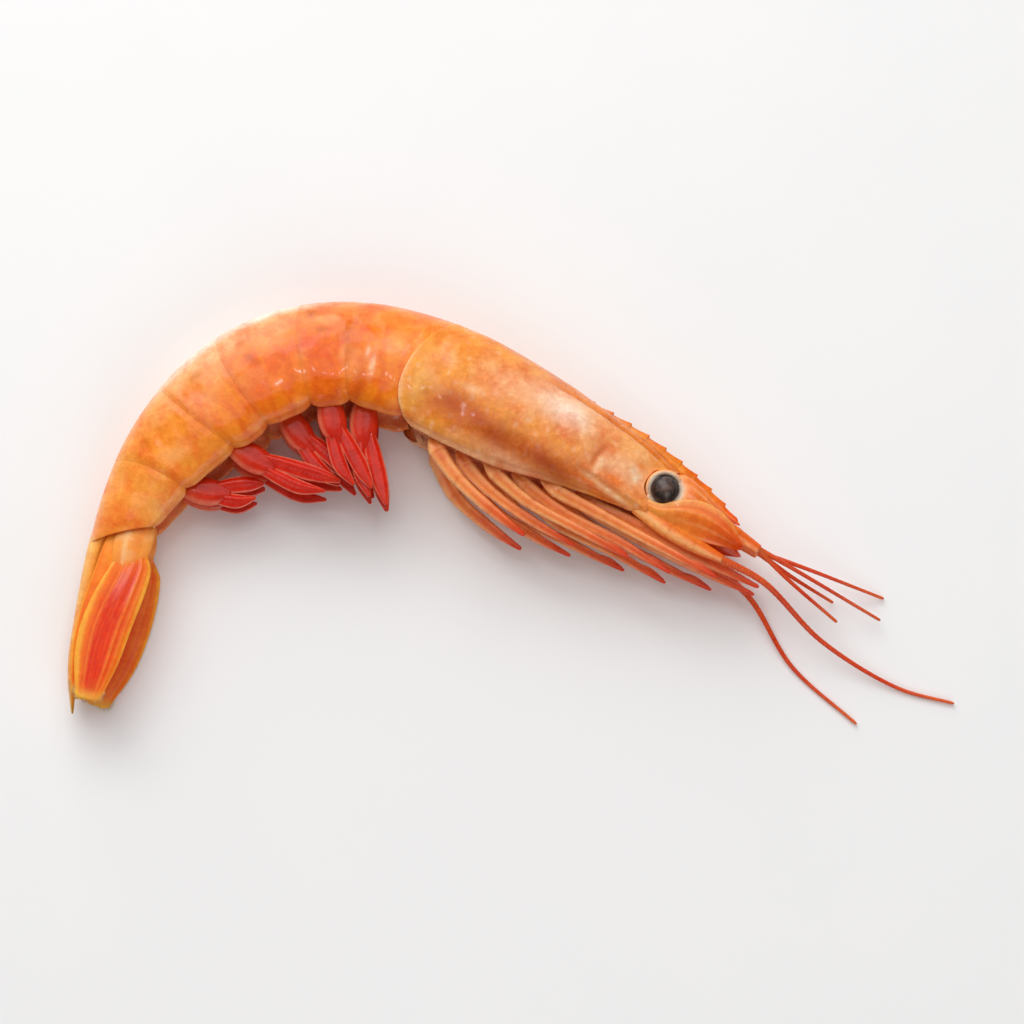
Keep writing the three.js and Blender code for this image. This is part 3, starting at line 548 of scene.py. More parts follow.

# Eyes: glossy black balls of fine facets under a clear cornea. Each is set in the pale cup of a
# short stalk, inside a soft skin pad that runs from under the head shield towards the feelers.
# Eye, cup and pad are mirrored left and right. The eye shows dark and clouded, with a painted
# highlight paling its middle.
cornea = bpy.data.materials.new("wet shrimp eye, dark pigment under clear cornea")
cornea.use_nodes = True
cornea_tree = cornea.node_tree
on_eye = add_node(cornea_tree, "ShaderNodeTexCoord").outputs["Object"]
eye_tint = add_node(cornea_tree, "ShaderNodeAttribute", {
    "attribute_name": "Tint"}).outputs["Color"]
# Real facets are about 0.05 mm wide. They are drawn 0.16 mm wide, so that they show.
facets = add_node(cornea_tree, "ShaderNodeTexVoronoi", {"feature": "F1"}, {
    "Vector": on_eye, "Scale": 1 / (0.16 * MM)})
haze = add_node(cornea_tree, "ShaderNodeTexNoise", (), {
    "Vector": on_eye, "Scale": 1 / (0.9 * MM), "Detail": 3.0})
haze_share = add_node(cornea_tree, "ShaderNodeMapRange", (), {
    "Value": haze.outputs["Fac"], "From Min": 0.45, "From Max": 0.7, "To Min": 0.0, "To Max": 0.5})
eye_colour = add_node(cornea_tree, "ShaderNodeMix", {"data_type": "RGBA"}, {
    0: haze_share.outputs["Result"], 6: eye_tint, 7: (*linear("#7c6054"), 1)}).outputs[2]
dimples = add_node(cornea_tree, "ShaderNodeBump", (), {
    "Strength": 0.25, "Distance": 0.02 * MM, "Height": facets.outputs["Distance"]})
cornea_shader = cornea_tree.nodes["Principled BSDF"]
cornea_tree.links.new(eye_colour, cornea_shader.inputs["Base Color"])
cornea_tree.links.new(dimples.outputs["Normal"], cornea_shader.inputs["Normal"])
for key, value in (("Roughness", 0.4), ("Specular IOR Level", 0.3), ("Coat Weight", 0.2),
                   ("Coat Roughness", 0.1)):
    cornea_shader.inputs[key].default_value = value
stalk_shell = wet_chitin("wet shrimp shell, eye stalk", "#e48838", 0.5, "#b85a20", 0.2, gloss=0.36,
                         mottle=0.4)
EYE_RADIUS = 2.75
SIDES = ((1, "right"), (-1, "left"))


def on_body(path, hand=1):
    """Metres of a path in body coordinates, mirrored by hand."""
    return body(*(np.array(path, float) * (1, 1, hand)).T)


def smooth_path(points, count):
    """Points and directions along a smooth curve through the given ones: a Catmull-Rom curve whose
    speed at each point follows the square root of the distance to its neighbours."""
    p = points
    p = np.concatenate([[2 * p[0] - p[1]], p, [2 * p[-1] - p[-2]]])
    gap = np.linalg.norm(np.diff(p, axis=0), axis=1)[:, None] ** 0.5
    t = np.linspace(0, len(points) - 1, count)
    i = np.minimum(t.astype(int), len(points) - 2)
    w = (t - i)[:, None]
    a, b, c, d = p[i], p[i + 1], p[i + 2], p[i + 3]
    before, here, after = gap[i], gap[i + 1], gap[i + 2]
    m1 = ((b - a) / before - (c - a) / (before + here) + (c - b) / here) * here
    m2 = ((c - b) / here - (d - b) / (here + after) + (d - c) / after) * here
    line = (b * (1 + 2 * w) * (1 - w) ** 2 + c * (3 - 2 * w) * w ** 2
            + w * (1 - w) * (m1 * (1 - w) - m2 * w))
    return line, unit(np.gradient(line, axis=0))


def even_steps(values, t):
    """Value at t from 0 to 1 on a smooth curve through values that stand at even steps."""
    return along(np.stack([np.linspace(0, 1, len(values)), values], 1), 1, t)


def limb(points, widths, depths, around, rows, shape=lambda t, turn: 1):
    """Oval section carried along a smooth path, its half width and depth given at even steps.
    Shape swells it by t along and turn round; the ends are rounded. Returns the grid of points,
    t as a column and turn as a row."""
    line, way = smooth_path(points, rows)
    across = unit(np.cross((0, 0, 1), way))
    through = np.cross(way, across)
    t, turn = np.linspace(0, 1, rows)[:, None], once_round(around)
    end = np.sqrt(np.clip(1 - (1 - np.minimum(np.minimum(t, 1 - t) / 0.02 + 0.15, 1)) ** 2, 0, 1))
    swell = shape(t, turn) * end * MM
    wide = even_steps(widths, t) * np.cos(turn) * swell
    deep = even_steps(depths, t) * np.sin(turn) * swell
    grid = (line[:, None] + across[:, None] * wide[..., None] + through[:, None] * deep[..., None])
    grid[..., 2] = np.maximum(grid[..., 2], FLOOR_GAP)
    return grid, t, turn


def eye_ball(hand):
    """Ball round the eye's middle, its pole on top, where a painted highlight makes the tint
    palest.
    """
    pole, turn = np.linspace(0.03, 0.97, 48)[:, None] * np.pi, once_round(64)
    ball = np.stack([np.sin(pole) * np.cos(turn), np.sin(pole) * np.sin(turn),
                     hand * np.cos(pole) + 0 * turn], -1)
    # The pale stops at the pole are a painted highlight.
    tint = tint_along(((0, "#6e5a52"), (0.3, "#4c3a34"), (0.75, "#1a1210"), (1.05, "#0e0908"),
                       (1.3, "#5a4638"), (3.1, "#3a2a25")), pole)
    return closed(ball * EYE_RADIUS * MM + on_body([EYE], hand), tint)


def stalk_cup(hand):
    """Cup turned about the line from its root to the eye's rim: the rise along that line and the
    radius in mm are two smooth curves, out to the rim and back inside, where it turns dark."""
    rise = (0, 0, 0.06, 0.17, 0.3, 0.43, 0.56, 0.69, 0.8, 0.87, 0.9, 0.91, 0.88, 0.75)
    radius = (0.3, 1.2, 1.9, 2.3, 2.8, 3.2, 3.45, 3.6, 3.5, 3.3, 3.1, 2.85, 2.6, 2.3)
    t, turn = np.linspace(0, 1, 90)[:, None], once_round(64)
    root, rim = on_body([(-46.1, 3, 2), (-46.7, 2.5, 5.2)], hand)
    way = unit(rim - root)
    across = unit(np.cross((0, 1, 0), way))
    round_it = np.cos(turn)[..., None] * across + np.sin(turn)[..., None] * np.cross(way, across)
    grid = root + (rim - root) * even_steps(rise, t)[..., None]
    grid = grid + round_it * even_steps(radius, t)[..., None] * MM
    tint = tint_along(((0, "#f49c4c"), (45, "#f7a050"), (56, "#faac68"), (64, "#e2c0a0"),
                       (73, "#b8a48e"), (80, "#84705f"), (84, "#3a2d26"), (90, "#2a1d18")), 89 * t)
    return closed(grid, tint)


def skin_pad(hand):
    """Flat oval limb under the eye. Its rear and upper rim sinks 2.4 mm to pass under the shield,
    and the tint turns pale, grey and dark in rings towards the eye."""
    grid, t, turn = limb(on_body([(-41, 2, 3.8), (-44, 2.2, 3.6), (-47, 2.5, 3.3), (-52, 3, 4.1),
                                  (-59, 4, 3.8)], hand),
                         (3.2, 4.4, 4.6, 4.0, 1.2), (1.6, 1.9, 1.9, 1.7, 0.5), 96, 130)
    tint = tint_along(((0, "#f79c48"), (0.6, "#faa458"), (0.85, "#f5822c"), (1, "#ee6214")), t)
    line = np.sin(np.cos(turn) * 16)
    tint = tinted(
        tint, "#ea7420", 0.35 * ease(0.2, 1, line) * ease(0.6, 0.75, t),
        "#ffd0a0", 0.35 * ease(-0.2, -1, line) * ease(0.6, 0.75, t))
    aside = (grid - on_body([EYE], hand))[..., :2] / MM
    apart = np.linalg.norm(aside, axis=-1)
    under = ease(0.1, 0.45, aside @ np.array([-0.5, 0.87]) / apart) * ease(2.7, 3.9, apart)
    grid[..., 2] -= hand * 2.4 * MM * under
    for colour, far, near in (("#fcb478", 4.8, 3.6), ("#e6cdb0", 4.0, 3.2), ("#b4a696", 3.3, 2.9),
                              ("#3c2c26", 2.85, 2.6)):
        tint = tinted(tint, colour, 0.9 * ease(far, near, apart))
    return closed(grid, tint)


for hand, name in SIDES:
    eye = shrimp_piece(f"eye_ball_{name}", [eye_ball(hand)], cornea)
    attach(eye, "root")
    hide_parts(f"eye_{name}")
    stalk = shrimp_piece(f"eye_stalk_shell_{name}", [stalk_cup(hand), skin_pad(hand)], stalk_shell)
    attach(stalk, "root")
    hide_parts(f"eye_stalk_{name}")

# Feelers: on each side a short one with a stout three-jointed root and two whips, a long one with
# a thick root and one long whip, and beside it a flat blade with a stiff outer rib. Thin red-orange
# shell, the whips made of hundreds of short joints.
feeler_shell = wet_chitin("wet shrimp shell, feeler", "#e0561c", 0.4, "#b8340d", 0.3, gloss=0.34,
                          flesh=0.2, bump=0.5)
blade_shell = wet_chitin("wet shrimp shell, feeler blade", "#e88030", 0.4, "#c85818", 0.3,
                         gloss=0.34, flesh=0.3, bump=0.7)
WHIP_STOPS = ((0, "#e86929"), (0.3, "#e2511d"), (0.7, "#dc4519"), (1, "#e46a2f"))


def whip(points, widths, pitch, rows):
    """Round tapering whip: its joints are a fine ripple of the radius, one to each pitch."""
    line, _ = smooth_path(points, 200)
    length = np.linalg.norm(np.diff(line, axis=0), axis=1).sum() / MM

    def beads(t):
        """A wave with one crest to each pitch of the whip's length."""
        return np.cos(2 * np.pi * t * length / pitch)

    grid, t, _ = limb(points, widths, widths, 10, rows, lambda t, turn: 1 + 0.035 * beads(t))
    tint = tinted(tint_along(WHIP_STOPS, t), "#a83011", 0.2 * ease(0.2, -0.8, beads(t)))
    return closed(grid, tint)


# Whips of the right and the left side: place along, across, height, in mm.
SHORT_WHIPS = {1: (((-66.4, 4.6, 1.6), (-74, 6, -0.9), (-92, 9, -6.5)),
                   ((-66.4, 4.6, 1.6), (-74, 3.8, -0.9), (-86, 3.4, -4))),
               -1: (((-66.4, 4.6, -1.6), (-74, 7.2, -2.1), (-90, 13, -8.1)),
                    ((-66.4, 4.6, -1.6), (-74, 4.8, -2.1), (-83, 6.6, -7.6)))}
LONG_WHIPS = {1: ((-62, -1.6, 3.6), (-71, 0.2, 1.4), (-86, -1, -5), (-102, 1, -7.9),
                  (-112, 5, -8.1)),
              -1: ((-62, -1.6, -3.6), (-71, -2.6, -5.6), (-84, -7.6, -7.9), (-100, -9, -8.1))}


def feeler_root(points, widths, depths, joints):
    """Stout root: a little wider just before each of its joints, with a crease after it."""
    def jointed(t, turn):
        """A wide bell before each joint, a narrow one taken off at it, and three soft corners."""
        swell = sum(0.04 * bell(t, at - 0.03, 0.05) - 0.04 * bell(t, at, 0.012) for at in joints)
        return 1 + swell + 0.05 * np.cos(3 * turn)

    grid, t, turn = limb(points, widths, depths, 28, 120, jointed)
    tint = tint_along(((0, "#f99c44"), (0.5, "#f69034"), (1, "#ee6018")), t)
    crease = sum(bell(t, at, 0.02) for at in joints)
    tint = tinted(
        tint, "#ffc888", 0.6 * bell(np.cos(turn), -0.4, 0.35),
        "#e2701c", 0.5 * bell(np.cos(turn), 0.35, 0.3))
    return closed(grid, tinted(tint, "#d8601c", 0.15 * crease))


def feeler_blade(hand):
    """Flat blade with a raised rib along its outer edge; its inner edge hangs 1.7 mm lower."""
    def ribbed(t, turn):
        """A bell near the outer edge on both faces, which fades out at the tip."""
        return 1 + 0.8 * bell(np.cos(turn), 0.88, 0.08) * np.abs(np.sin(turn)) * ease(1, 0.9, t)

    grid, t, turn = limb(on_body([(-44, -2.6, 4.4), (-48.8, -1.9, 5.1), (-52.7, 0.2, 5.7),
                                  (-57.5, 1.8, 5.8), (-64.5, 2.5, 4.9)], hand),
                         (1.2, 1.6, 2.4, 3.1, 2.6, 0.4), (0.5, 0.55, 0.55, 0.5, 0.4, 0.3),
                         96, 120, ribbed)
    across = np.cos(turn)
    grid[..., 2] -= hand * 1.7 * MM * ease(0.6, -1, across)
    tint = tint_along(((0, "#f9a048"), (0.4, "#f8963c"), (0.6, "#f48024"), (0.8, "#ec6414"),
                       (1, "#e44c0c")), t)
    vein = np.sin(across * 10 + t)
    tint = tinted(
        tint, "#ea6c20", 0.3 * ease(0.3, 1, vein) * ease(0.3, 0.6, t),
        "#ffb874", 0.3 * ease(-0.3, -1, vein) * ease(0.3, 0.6, t) * ease(1, 0.8, t),
        "#ffbc68", 0.8 * bell(across, 0.9, 0.1) * ease(1, 0.85, t),
        "#d85c10", 0.5 * bell(across, 0.7, 0.07))
    return closed(grid, tint)


for hand, name in SIDES:
    short = [feeler_root(on_body([(-50.6, 3.4, 2.3), (-58, 4, 2), (-67, 4.4, 1.6)], hand),
                         (2.1, 1.7, 1.4, 1.0), (1.4, 1.3, 1.1, 0.9), (0.45, 0.75))]
    short += [whip(on_body(path), (0.55, 0.4, 0.3), 0.8, 190) for path in SHORT_WHIPS[hand]]
    long = [feeler_root(on_body([(-44, -3.0, 3.4), (-54, -2.8, 3.9), (-63, -1.4, 3.6)], hand),
                        (1.5, 1.7, 1.6, 1.3, 0.8), (1.1, 1.2, 1.1, 0.9, 0.6), (0.4, 0.68)),
            whip(on_body(LONG_WHIPS[hand]), (0.8, 0.55, 0.4, 0.3), 0.9, 420)]
    for node, parts, shell, finish in (
            ("short_feeler", short, feeler_shell, "feeler"),
            ("long_feeler", long, feeler_shell, "feeler"),
            ("feeler_blade", [feeler_blade(hand)], blade_shell, "head_shell")):
        piece = shrimp_piece(f"{node}_shell_{name}", parts, shell)
        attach(piece, "root")
        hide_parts(f"{node}_{name}")

# Legs: a feeding pair and five walking pairs, thin jointed tubes of peach shell that turn pink
# and red to the tips. The first three walking pairs end in small pincers, the rest in a point.
# Rows: node, root along the body, knee, wrist and tip along and across, thickness, height.
LEG_ROWS = (
    ("feeding_leg", -33, (-47, -5.2), (-60, -3), (-71, -1), 1.3, 1.3),
    ("leg_1", -26.5, (-40, -8.3), (-53, -6.4), (-64, -4.6), 1.1, 4.2),
    ("leg_2", -20.7, (-33, -11.6), (-46, -9.9), (-56.6, -8.9), 1.1, 2.6),
    ("leg_3", -15, (-26.5, -13.7), (-38.5, -12.9), (-49, -11.4), 1.1, 4.4),
    ("leg_4", -9.2, (-18.5, -15), (-29.5, -16), (-39, -15.4), 1.15, 2.7),
    ("leg_5", -3.5, (-11.5, -15.9), (-20.5, -18.3), (-29.5, -19.2), 1.35, 4.5))
LEFT_DROP, PINCER_LEGS = 1.3, ("leg_1", "leg_2", "leg_3")
leg_shell = wet_chitin("wet shrimp shell, leg", "#e88a4c", 0.4, "#d0582a", 0.25, gloss=0.36,
                       flesh=0.3, bump=0.6)


def leg(root, knee, wrist, tip, thick, side, hand, pincer):
    """Tapering oval tube through root, knee, wrist and tip, with two lengthwise ridges and a
    crease at each joint. The left legs hang a little lower, so that they show beside the right
    ones. A pincer adds a second thin finger beside the last sixth of the tube."""
    drop = LEFT_DROP if hand < 0 else 0
    start = float(along(TRUNK, 2, root)) + 0.55
    bend = start + (knee[1] - start) * 0.3 - 0.5
    path = on_body([(root, start, side), (root + (knee[0] - root) * 0.3, bend, side + 0.2),
                    (knee[0], knee[1] - drop, side + 0.2), (wrist[0], wrist[1] - drop, side),
                    (tip[0], tip[1] - drop, side * 0.8)], hand)
    widths = np.array([0.55, 1.25, 1.1, 0.9, 0.75, 0.3]) * thick
    joints = (0.26, 0.52, 0.76)

    def jointed(t, turn):
        """A wide bell before each joint, a narrow one taken off at it, and a bell for each
        ridge."""
        swell = sum(0.04 * bell(t, at - 0.03, 0.04) - 0.05 * bell(t, at, 0.01) for at in joints)
        ridge = sum(bell(np.cos(turn), at, 0.2) for at in (-0.75, 0.55))
        return 0.97 + swell + 0.12 * ridge

    grid, t, turn = limb(path, widths, widths * 0.75, 32, 150, jointed)
    across = np.cos(turn)
    tint = tint_along(((0, "#f79c50"), (0.3, "#f89c4e"), (0.6, "#f79044"), (0.82, "#ee6028"),
                       (1, "#d8361c")), t)
    pale = bell(across, -0.75, 0.22) + 0.8 * bell(across, 0.55, 0.2)
    tint = tinted(
        tint, "#ffc890", 0.6 * pale * ease(0.98, 0.75, t),
        "#dc6a30", 0.5 * bell(across, -0.1, 0.25),
        "#d86c38", 0.25 * sum(bell(t, at, 0.012) for at in joints))
    parts = [closed(grid, tint)]
    if pincer:
        line, way = smooth_path(path, 150)
        beside = np.cross((0, 0, 1), way[136]) * thick * MM
        spots = [line[124], line[136] + 0.55 * beside, line[147] + 0.3 * beside]
        grid, t, _ = limb(np.array(spots), np.array([0.35, 0.34, 0.12]) * thick,
                          np.array([0.35, 0.3, 0.12]) * thick, 12, 30)
        parts.append(closed(grid, tint_along(((0, "#f07c48"), (1, "#d8402a")), t)))
    return parts


for name, root, knee, wrist, tip, thick, side in LEG_ROWS:
    for hand, which in SIDES:
        parts = leg(root, knee, wrist, tip, thick, side, hand, name in PINCER_LEGS)
        piece = shrimp_piece(f"{name}_shell_{which}", parts, leg_shell)
        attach(piece, "root")
        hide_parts(f"{name}_{which}")

# Swimmerets: five pairs under the tail, each a stout red stalk with two thin red blades that lean
# towards the head. Soft shell, wet and shining, pale at its edges, with fine cross joints.
TIP_LEAN = 14
# Rows: root along the body, lean in degrees, length, height.
SWIMMERET_ROWS = ((12.4, 4, 18.5, 3.1), (20.6, 7, 17.6, 4.4), (31.2, 10, 16.5, 1.75),
                  (46.8, 7, 19.6, 3.8), (59.4, 12, 13.5, 2.4))
swimmeret_shell = wet_chitin("wet shrimp shell, swimmeret", "#d83418", 0.4, "#a82414", 0.3,
                             gloss=0.34, flesh=0.2, bump=1.2, coat=0.35)


def swimmeret(s, lean, length, side, hand):
    """Broad stalk and two narrow blades, all in one plane: a point far from the root lies along
    a line that leans towards the head, more so at the tip, and is set aside towards the tail."""
    slope = middle_line(np.array(float(s)))[2]
    back = np.array([np.sin(slope), np.cos(slope), 0])
    head = np.array([np.cos(slope), -np.sin(slope), 0])
    root = body(s, float(along(TAIL, 2, s)) + 0.6, side * hand)

    def reach(*steps):
        """Points from distances in mm: far along the leaning line, and aside from it."""
        far, aside = np.array(steps, float).T[:, :, None]
        lean_on = np.radians(lean + TIP_LEAN * far / length)
        return root + MM * (-back * (far * np.cos(lean_on) + aside * np.sin(lean_on))
                            + head * (far * np.sin(lean_on) - aside * np.cos(lean_on)))

    def creased(t, turn):
        """A shallow bell taken off the middle of both faces."""
        groove = 0.12 * bell(np.cos(turn), 0.1, 0.16) * np.abs(np.sin(turn))
        return 1 + 0.05 * np.cos(2 * turn) - groove * ease(0, 0.3, t)

    grid, t, turn = limb(reach((-1.2, 0), (3.3, 0), (7.6, 0)), (1.9, 2.3, 2.5, 2.4, 1.9, 1.0),
                         (1, 1.3, 1.2, 1.05, 0.8, 0.45), 36, 80, creased)
    edge = np.cos(turn)
    tint = tint_along(((0, "#e4602e"), (0.3, "#da3614"), (0.7, "#d42808"), (1, "#d22406")), t)
    tint = tinted(
        tint, "#bc1c08", 0.45 * bell(edge, 0.2, 0.35) * ease(0.05, 0.4, t),
        "#f48c6c", 0.6 * ease(-0.6, -0.9, edge) * ease(1, 0.7, t))
    parts = [closed(grid, tint)]
    blades = ((reach((4.2, -0.9), ((6.6 + length) / 2, -1.7), (length, -1.2)),
               (1.0, 1.45, 1.55, 1.2, 0.35), (0.6, 0.6, 0.5, 0.4, 0.25)),
              (reach((4.2, 0.8), (length * 0.66, 1.5), (length * 0.9, 1.2)),
               (1.0, 1.3, 1.35, 0.9, 0.3), (0.55, 0.5, 0.45, 0.35, 0.25)))

    def leafed(t, turn):
        """A rib along both faces, a bell across, and a fine wave of eighteen cross joints."""
        rib = 0.35 * bell(np.cos(turn), 0.3, 0.2)
        joints = 0.012 * np.cos(2 * np.pi * t * 18) * ease(0.15, 0.35, t)
        return 1 + (rib + joints) * np.abs(np.sin(turn))

    for path, widths, depths in blades:
        grid, t, turn = limb(path, widths, depths, 36, 120, leafed)
        edge = np.cos(turn)
        tint = tint_along(((0, "#dc2c0c"), (0.3, "#da2408"), (0.7, "#d42206"), (1, "#dc3818")), t)
        tint = tinted(
            tint, "#fc9c80", 0.7 * ease(0.8, 0.95, np.abs(edge)) * ease(0, 0.15, t),
            "#b42414", 0.5 * bell(edge, -0.25, 0.3))
        parts.append(closed(grid, tint))
    return parts


for k, (s, lean, length, side) in enumerate(SWIMMERET_ROWS):
    for hand, which in SIDES:
        piece = shrimp_piece(f"swimmeret_{k + 1}_shell_{which}",
                             swimmeret(s, lean, length, side, hand), swimmeret_shell)
        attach(piece, "root")
        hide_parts(f"swimmeret_{k + 1}_{which}")

# Tail fan: a pointed middle plate along the back and, on each side, a stout base with two thin
# blades, all folded together. Red-orange shell with ribs, a paler edge and a fringe of bristles.
FRINGE_FROM, FRINGE_COUNT, FRINGE_LENGTH = 0.94, 60, 0.9
fan_shell = wet_chitin("wet shrimp shell, tail fan", "#ea5c1c", 0.35, "#c03c14", 0.2, gloss=0.55,
                       flesh=0.2, bump=0.8, coat=0.15, net_depth=0)


def bristles(grid, seed):
    """Fringe: thin three-sided spikes that stand out from the rim of a blade near its end, all of
    them one mesh, each leaning towards the blade's tip."""
    random = np.random.default_rng(seed)
    rows, around = grid.shape[:2]
    low = int(FRINGE_FROM * rows)
    rim = np.concatenate([grid[low:, 0], grid[-2:-1].mean(1), grid[low:, around // 2][::-1]])
    at = np.linspace(0, len(rim) - 1, FRINGE_COUNT) + random.uniform(-0.3, 0.3, FRINGE_COUNT)
    at = np.clip(at, 0, len(rim) - 1)
    i = np.minimum(at.astype(int), len(rim) - 2)
    root = rim[i] + (rim[i + 1] - rim[i]) * (at - i)[:, None]
    ahead = unit(grid[-1].mean(0) - grid[-8].mean(0))
    level = low + np.minimum(at, len(rim) - 1 - at).astype(int)
    out = unit(root - grid.mean(1)[np.clip(level, 0, rows - 1)])
    way = unit(ahead * 0.8 + out * 0.7)
    tip = root + way * FRINGE_LENGTH * random.uniform(0.6, 1.1, FRINGE_COUNT)[:, None] * MM
    tip[:, 2] = np.maximum(tip[:, 2], 5 * FLOOR_GAP)
    side_a = unit(np.cross(way, (0, 0, 1)))
    side_b = np.cross(way, side_a)
    half = 0.07 * MM
    base = root - way * 0.2 * MM
    corners = [base + (side_a * np.cos(a) + side_b * np.sin(a)) * half
               for a in np.radians((0, 120, 240))]
    points = np.stack(corners + [tip], 1).reshape(-1, 3)
    start = np.arange(FRINGE_COUNT)[:, None, None] * 4
    faces = (start + np.array([[0, 2, 1], [0, 1, 3], [1, 2, 3], [2, 0, 3]])).reshape(-1, 3)
    corner = points[faces]
    volume = np.sum(corner[:, 0] * np.cross(corner[:, 1], corner[:, 2]))
    faces = faces if volume > 0 else faces[:, ::-1]
    tint = np.tile([linear("#f2b860")] * 3 + [linear("#f4dca0")], (FRINGE_COUNT, 1))
    return points, np.zeros((0, 4), int), faces, tint


def fan_blade(points, widths, depths, ribs, seed, stops):
    """Thin plate with raised ribs that run its length, thinner and paler at the rim."""
    def ribbed(t, turn):
        """A bell for each rib on both faces, a little lower at the end."""
        across = np.cos(turn)
        height = sum(high * bell(across, at, wide) for at, high, wide in ribs)
        return 1 + height * np.abs(np.sin(turn)) * ease(1, 0.8, t)

    grid, t, turn = limb(points, widths, depths, 88, 130, ribbed)
    across = np.cos(turn)
    tint = tint_along(stops, t + 0.3 * across * (1 - t))
    edge = np.abs(across + 0.12 * np.sin(3 * t + seed))
    tint = tinted(tint, "#f47a1c", 0.9 * ease(0.42, 0.8, edge) * ease(0, 0.3, t))
    streak = np.sin(across * 34 + ripples(grid, 5, seed) * 1.2)
    tint = tinted(tint, "#f6701c", 0.3 * ease(0.1, 1, streak) * ease(0.1, 0.3, t))
    for at, _, wide in ribs:
        tint = tinted(tint, "#fc9438", 0.6 * bell(across, at, wide))
    tint = tinted(
        tint, "#fbb23c", 0.9 * ease(0.76, 0.95, edge) * ease(0.05, 0.3, t),
        "#f8b848", 0.9 * ease(0.94, 0.99, t))
    return [closed(grid, tint), bristles(grid, seed)]


def fan_base(hand):
    """Stout oval plate with a narrow ridge along its top, which carries both blades."""
    def ridged(t, turn):
        """A slightly squeezed oval with a narrow bell near its middle."""
        return 1 + 0.03 * np.cos(2 * turn) + 0.05 * bell(np.cos(turn), -0.35, 0.12)

    grid, t, turn = limb(on_body([(68.5, 0.5, 2.6), (71.6, 0.3, 3), (74.1, 0.2, 3.7),
                                  (80, 0.1, 4.3)], hand),
                         (2.6, 3.2, 3.5, 3.5, 3.1, 1.6), (1.3, 1.5, 1.5, 1.2, 0.7, 0.3), 56, 90,
                         ridged)
    tint = tint_along(((0, "#f9a24a"), (0.5, "#f9a04a"), (0.8, "#f99a40"), (1, "#f89238")), t)
    tint = tinted(
        tint, "#ffcf94", 0.6 * bell(np.cos(turn), -0.35, 0.14),
        "#ffbe7c", 0.4 * ease(0.3, 1.1, ripples(grid, 3, 54)),
        "#f07c20", 0.5 * bell(np.cos(turn), 0.35, 0.25))
    return closed(grid, tint)


def middle_plate():
    """Pointed plate with a groove beside a low ridge along its top, with a painted highlight paling
    its upper side.
    """
    def keeled(t, turn):
        """A bell taken off beside the ridge, and a slightly squeezed oval."""
        return 1 - 0.12 * bell(np.cos(turn), 0.55, 0.2) + 0.06 * np.cos(2 * turn)

    grid, t, turn = limb(on_body([(71.5, 6.0, 0), (75.3, 6.5, 0), (88, 6.5, 0), (98, 6, 0),
                                  (106.2, 4.2, 0)]),
                         (2.2, 2.05, 1.75, 1.4, 1.1, 0.7, 0.2), (3, 2.75, 2.55, 2.1, 1.5, 0.9, 0.2),
                         56, 130, keeled)
    tint = tint_along(((0, "#f99a38"), (0.3, "#faa23c"), (0.6, "#f89e38"), (0.85, "#f09028"),
                       (1, "#8d7a29")), t)
    # The pale cream along the upper side is a painted highlight.
    tint = tinted(
        tint, "#fccc84", 0.6 * ease(0.1, -0.75, np.cos(turn)),
        "#ee8c28", 0.6 * bell(np.cos(turn), 0.55, 0.2))
    return closed(grid, tint)


# The left outer blade lies under the right one and shows beside it. Its tint is painted a paler
# orange than the right blade's red, to offset the shade it lies in.
INNER_PATH = ((71.8, 3.3, 2.5), (77.5, 2.9, 3.3), (90, 3.7, 3.5), (102.8, 4, 3.1))
INNER_STOPS = ((0, "#f99830"), (0.4, "#f78420"), (0.65, "#f46414"), (0.9, "#ee4c0c"),
               (1, "#f28a2c"))
OUTER_PATHS = {1: ((74.5, -0.8, 3.7), (77.5, -0.9, 4.1), (90, 1.3, 4.8), (103.8, 1.7, 4.5)),
               -1: ((74.5, -1.4, 3.7), (77.5, -1.9, 4.1), (90, -1, 4.8), (103.2, 0.9, 4.5))}
OUTER_STOPS = {1: ((0, "#f99c44"), (0.24, "#f68c2c"), (0.36, "#ee6414"), (0.47, "#e23606"),
                   (0.9, "#e83208"), (1, "#f27c2e")),
               # The left blade's paler stops are painted light against the shade it lies in.
               -1: ((0, "#fcae6c"), (0.24, "#fba866"), (0.36, "#fa9656"), (0.47, "#f67c44"),
                    (0.9, "#f4703a"), (1, "#f89c58"))}
OUTER_RIBS = ((-0.4, 0.1, 0.05), (0.45, 0.15, 0.07), (0.72, 0.1, 0.05))
for hand, name in SIDES:
    inner = fan_blade(on_body(INNER_PATH, hand), (1.9, 2.5, 2.9, 3.2, 2.8, 1.0),
                      (0.8, 0.6, 0.5, 0.45, 0.4, 0.25), ((-0.05, 0.4, 0.1),), 51, INNER_STOPS)
    outer = fan_blade(on_body(OUTER_PATHS[hand], hand), (1.8, 2.6, 3.9, 4.55, 4.2, 2.2),
                      (0.7, 0.6, 0.5, 0.45, 0.4, 0.25), OUTER_RIBS, 52, OUTER_STOPS[hand])
    for node, parts, finish in (("fan_base", [fan_base(hand)], "tail_shell"),
                                ("fan_inner", inner, "tail_fan"), ("fan_outer", outer, "tail_fan")):
        piece = shrimp_piece(f"{node}_shell_{name}", parts, fan_shell)
        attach(piece, "root")
        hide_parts(f"{node}_{name}")
plate = shrimp_piece("tail_plate_shell", [middle_plate()], fan_shell)
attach(plate, "root")
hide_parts("tail_plate")

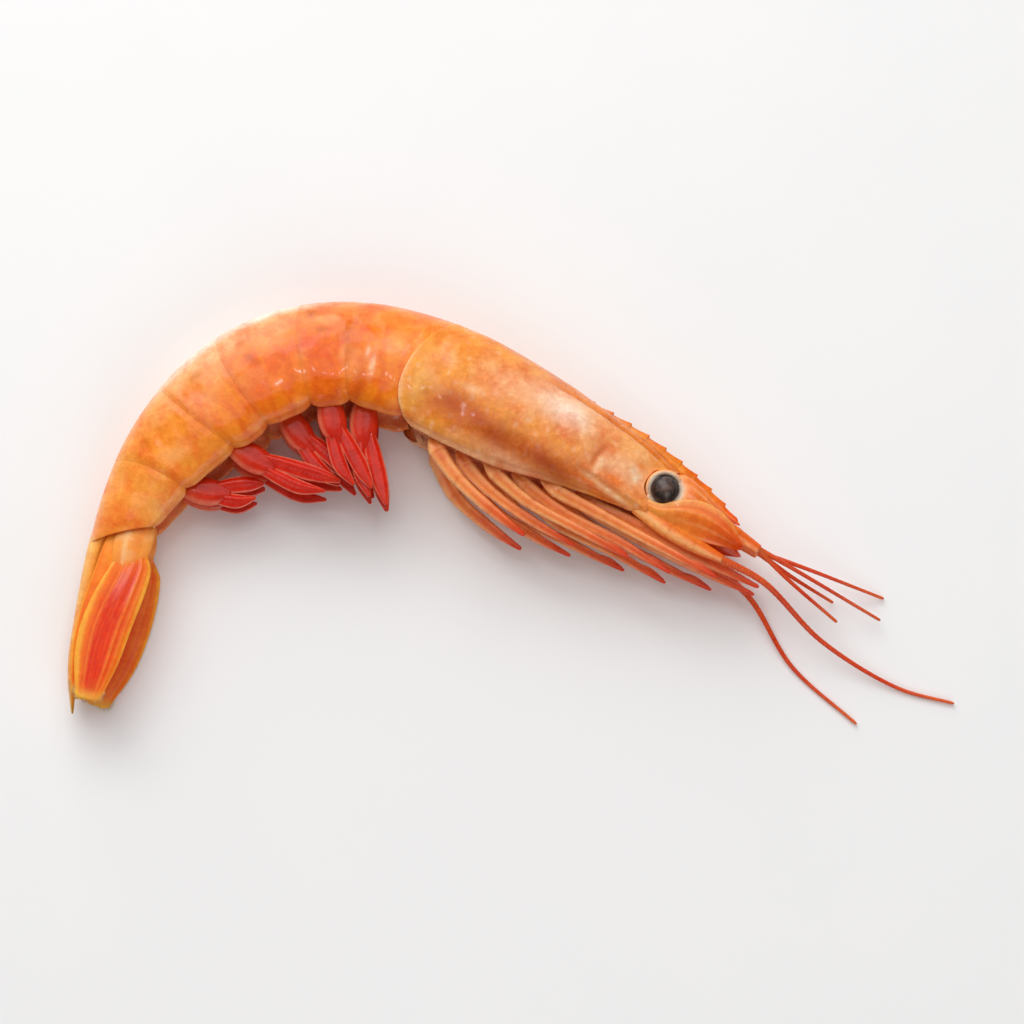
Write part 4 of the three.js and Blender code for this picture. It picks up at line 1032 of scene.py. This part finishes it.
# Studio: a plain pale board, large soft lights behind and above the back of the shrimp, a weaker
# one in front, a small weak key light for the wet glints, an even pale sky, and a camera that
# looks almost straight down on the shown side. The board is matt and shows soft shadows only.
floor_paint = bpy.data.materials.new("matt white studio board")
floor_paint.use_nodes = True
floor_tree = floor_paint.node_tree
fibre = add_node(floor_tree, "ShaderNodeTexNoise", (), {
    "Vector": add_node(floor_tree, "ShaderNodeTexCoord").outputs["Object"], "Scale": 1 / (30 * MM),
    "Detail": 2.0})
floor_colour = add_node(floor_tree, "ShaderNodeMix", {"data_type": "RGBA"}, {
    0: fibre.outputs["Fac"], 6: (*linear("#f4f3f3"), 1), 7: (*linear("#f7f6f5"), 1)}).outputs[2]
floor_shader = floor_tree.nodes["Principled BSDF"]
floor_tree.links.new(floor_colour, floor_shader.inputs["Base Color"])
floor_shader.inputs["Roughness"].default_value = 0.8
floor_mesh = bpy.data.meshes.new("floor")
floor_mesh.from_pydata([(-3, -3, 0), (3, -3, 0), (3, 3, 0), (-3, 3, 0)], [], [(0, 1, 2, 3)])
floor_mesh.materials.append(floor_paint)
floor = bpy.data.objects.new("floor", floor_mesh)
bpy.context.scene.collection.objects.link(floor)


def look_along(thing, start, target):
    """Puts a light or camera at start, turned to face target, with the world's up side up."""
    thing.location = start
    thing.rotation_euler = (Vector(target) - Vector(start)).to_track_quat("-Z", "Y").to_euler()


for name, at, power, size in (("key light", (-0.13, 0.2, 0.8), 0.14, 0.04),
                              ("back light", (-0.36, 0.81, 0.48), 6.2, 0.85),
                              ("top light", (-0.12, 0.42, 0.76), 4.6, 0.95),
                              ("front light", (0.25, -0.6, 0.5), 1.5, 0.5)):
    light = bpy.data.lights.new(name, "AREA")
    light.energy, light.size = power, size
    lamp = bpy.data.objects.new(name, light)
    look_along(lamp, at, (0, 0, 0))
    bpy.context.scene.collection.objects.link(lamp)

sky = bpy.data.worlds.new("pale studio")
sky.use_nodes = True
glow = sky.node_tree.nodes["Background"]
glow.inputs["Color"].default_value = (1, 1, 1, 1)
glow.inputs["Strength"].default_value = 0.22
bpy.context.scene.world = sky
bpy.context.scene.view_settings.view_transform = "Standard"

lens = bpy.data.cameras.new("camera")
lens.lens, lens.clip_start, lens.clip_end = 170, 0.01, 10
camera = bpy.data.objects.new("camera", lens)
camera_height, camera_distance = np.radians(78), 0.9
look_along(camera, (0, -camera_distance * np.cos(camera_height),
                    camera_distance * np.sin(camera_height)), (0, 0, 0.006))
bpy.context.scene.collection.objects.link(camera)
bpy.context.scene.camera = camera
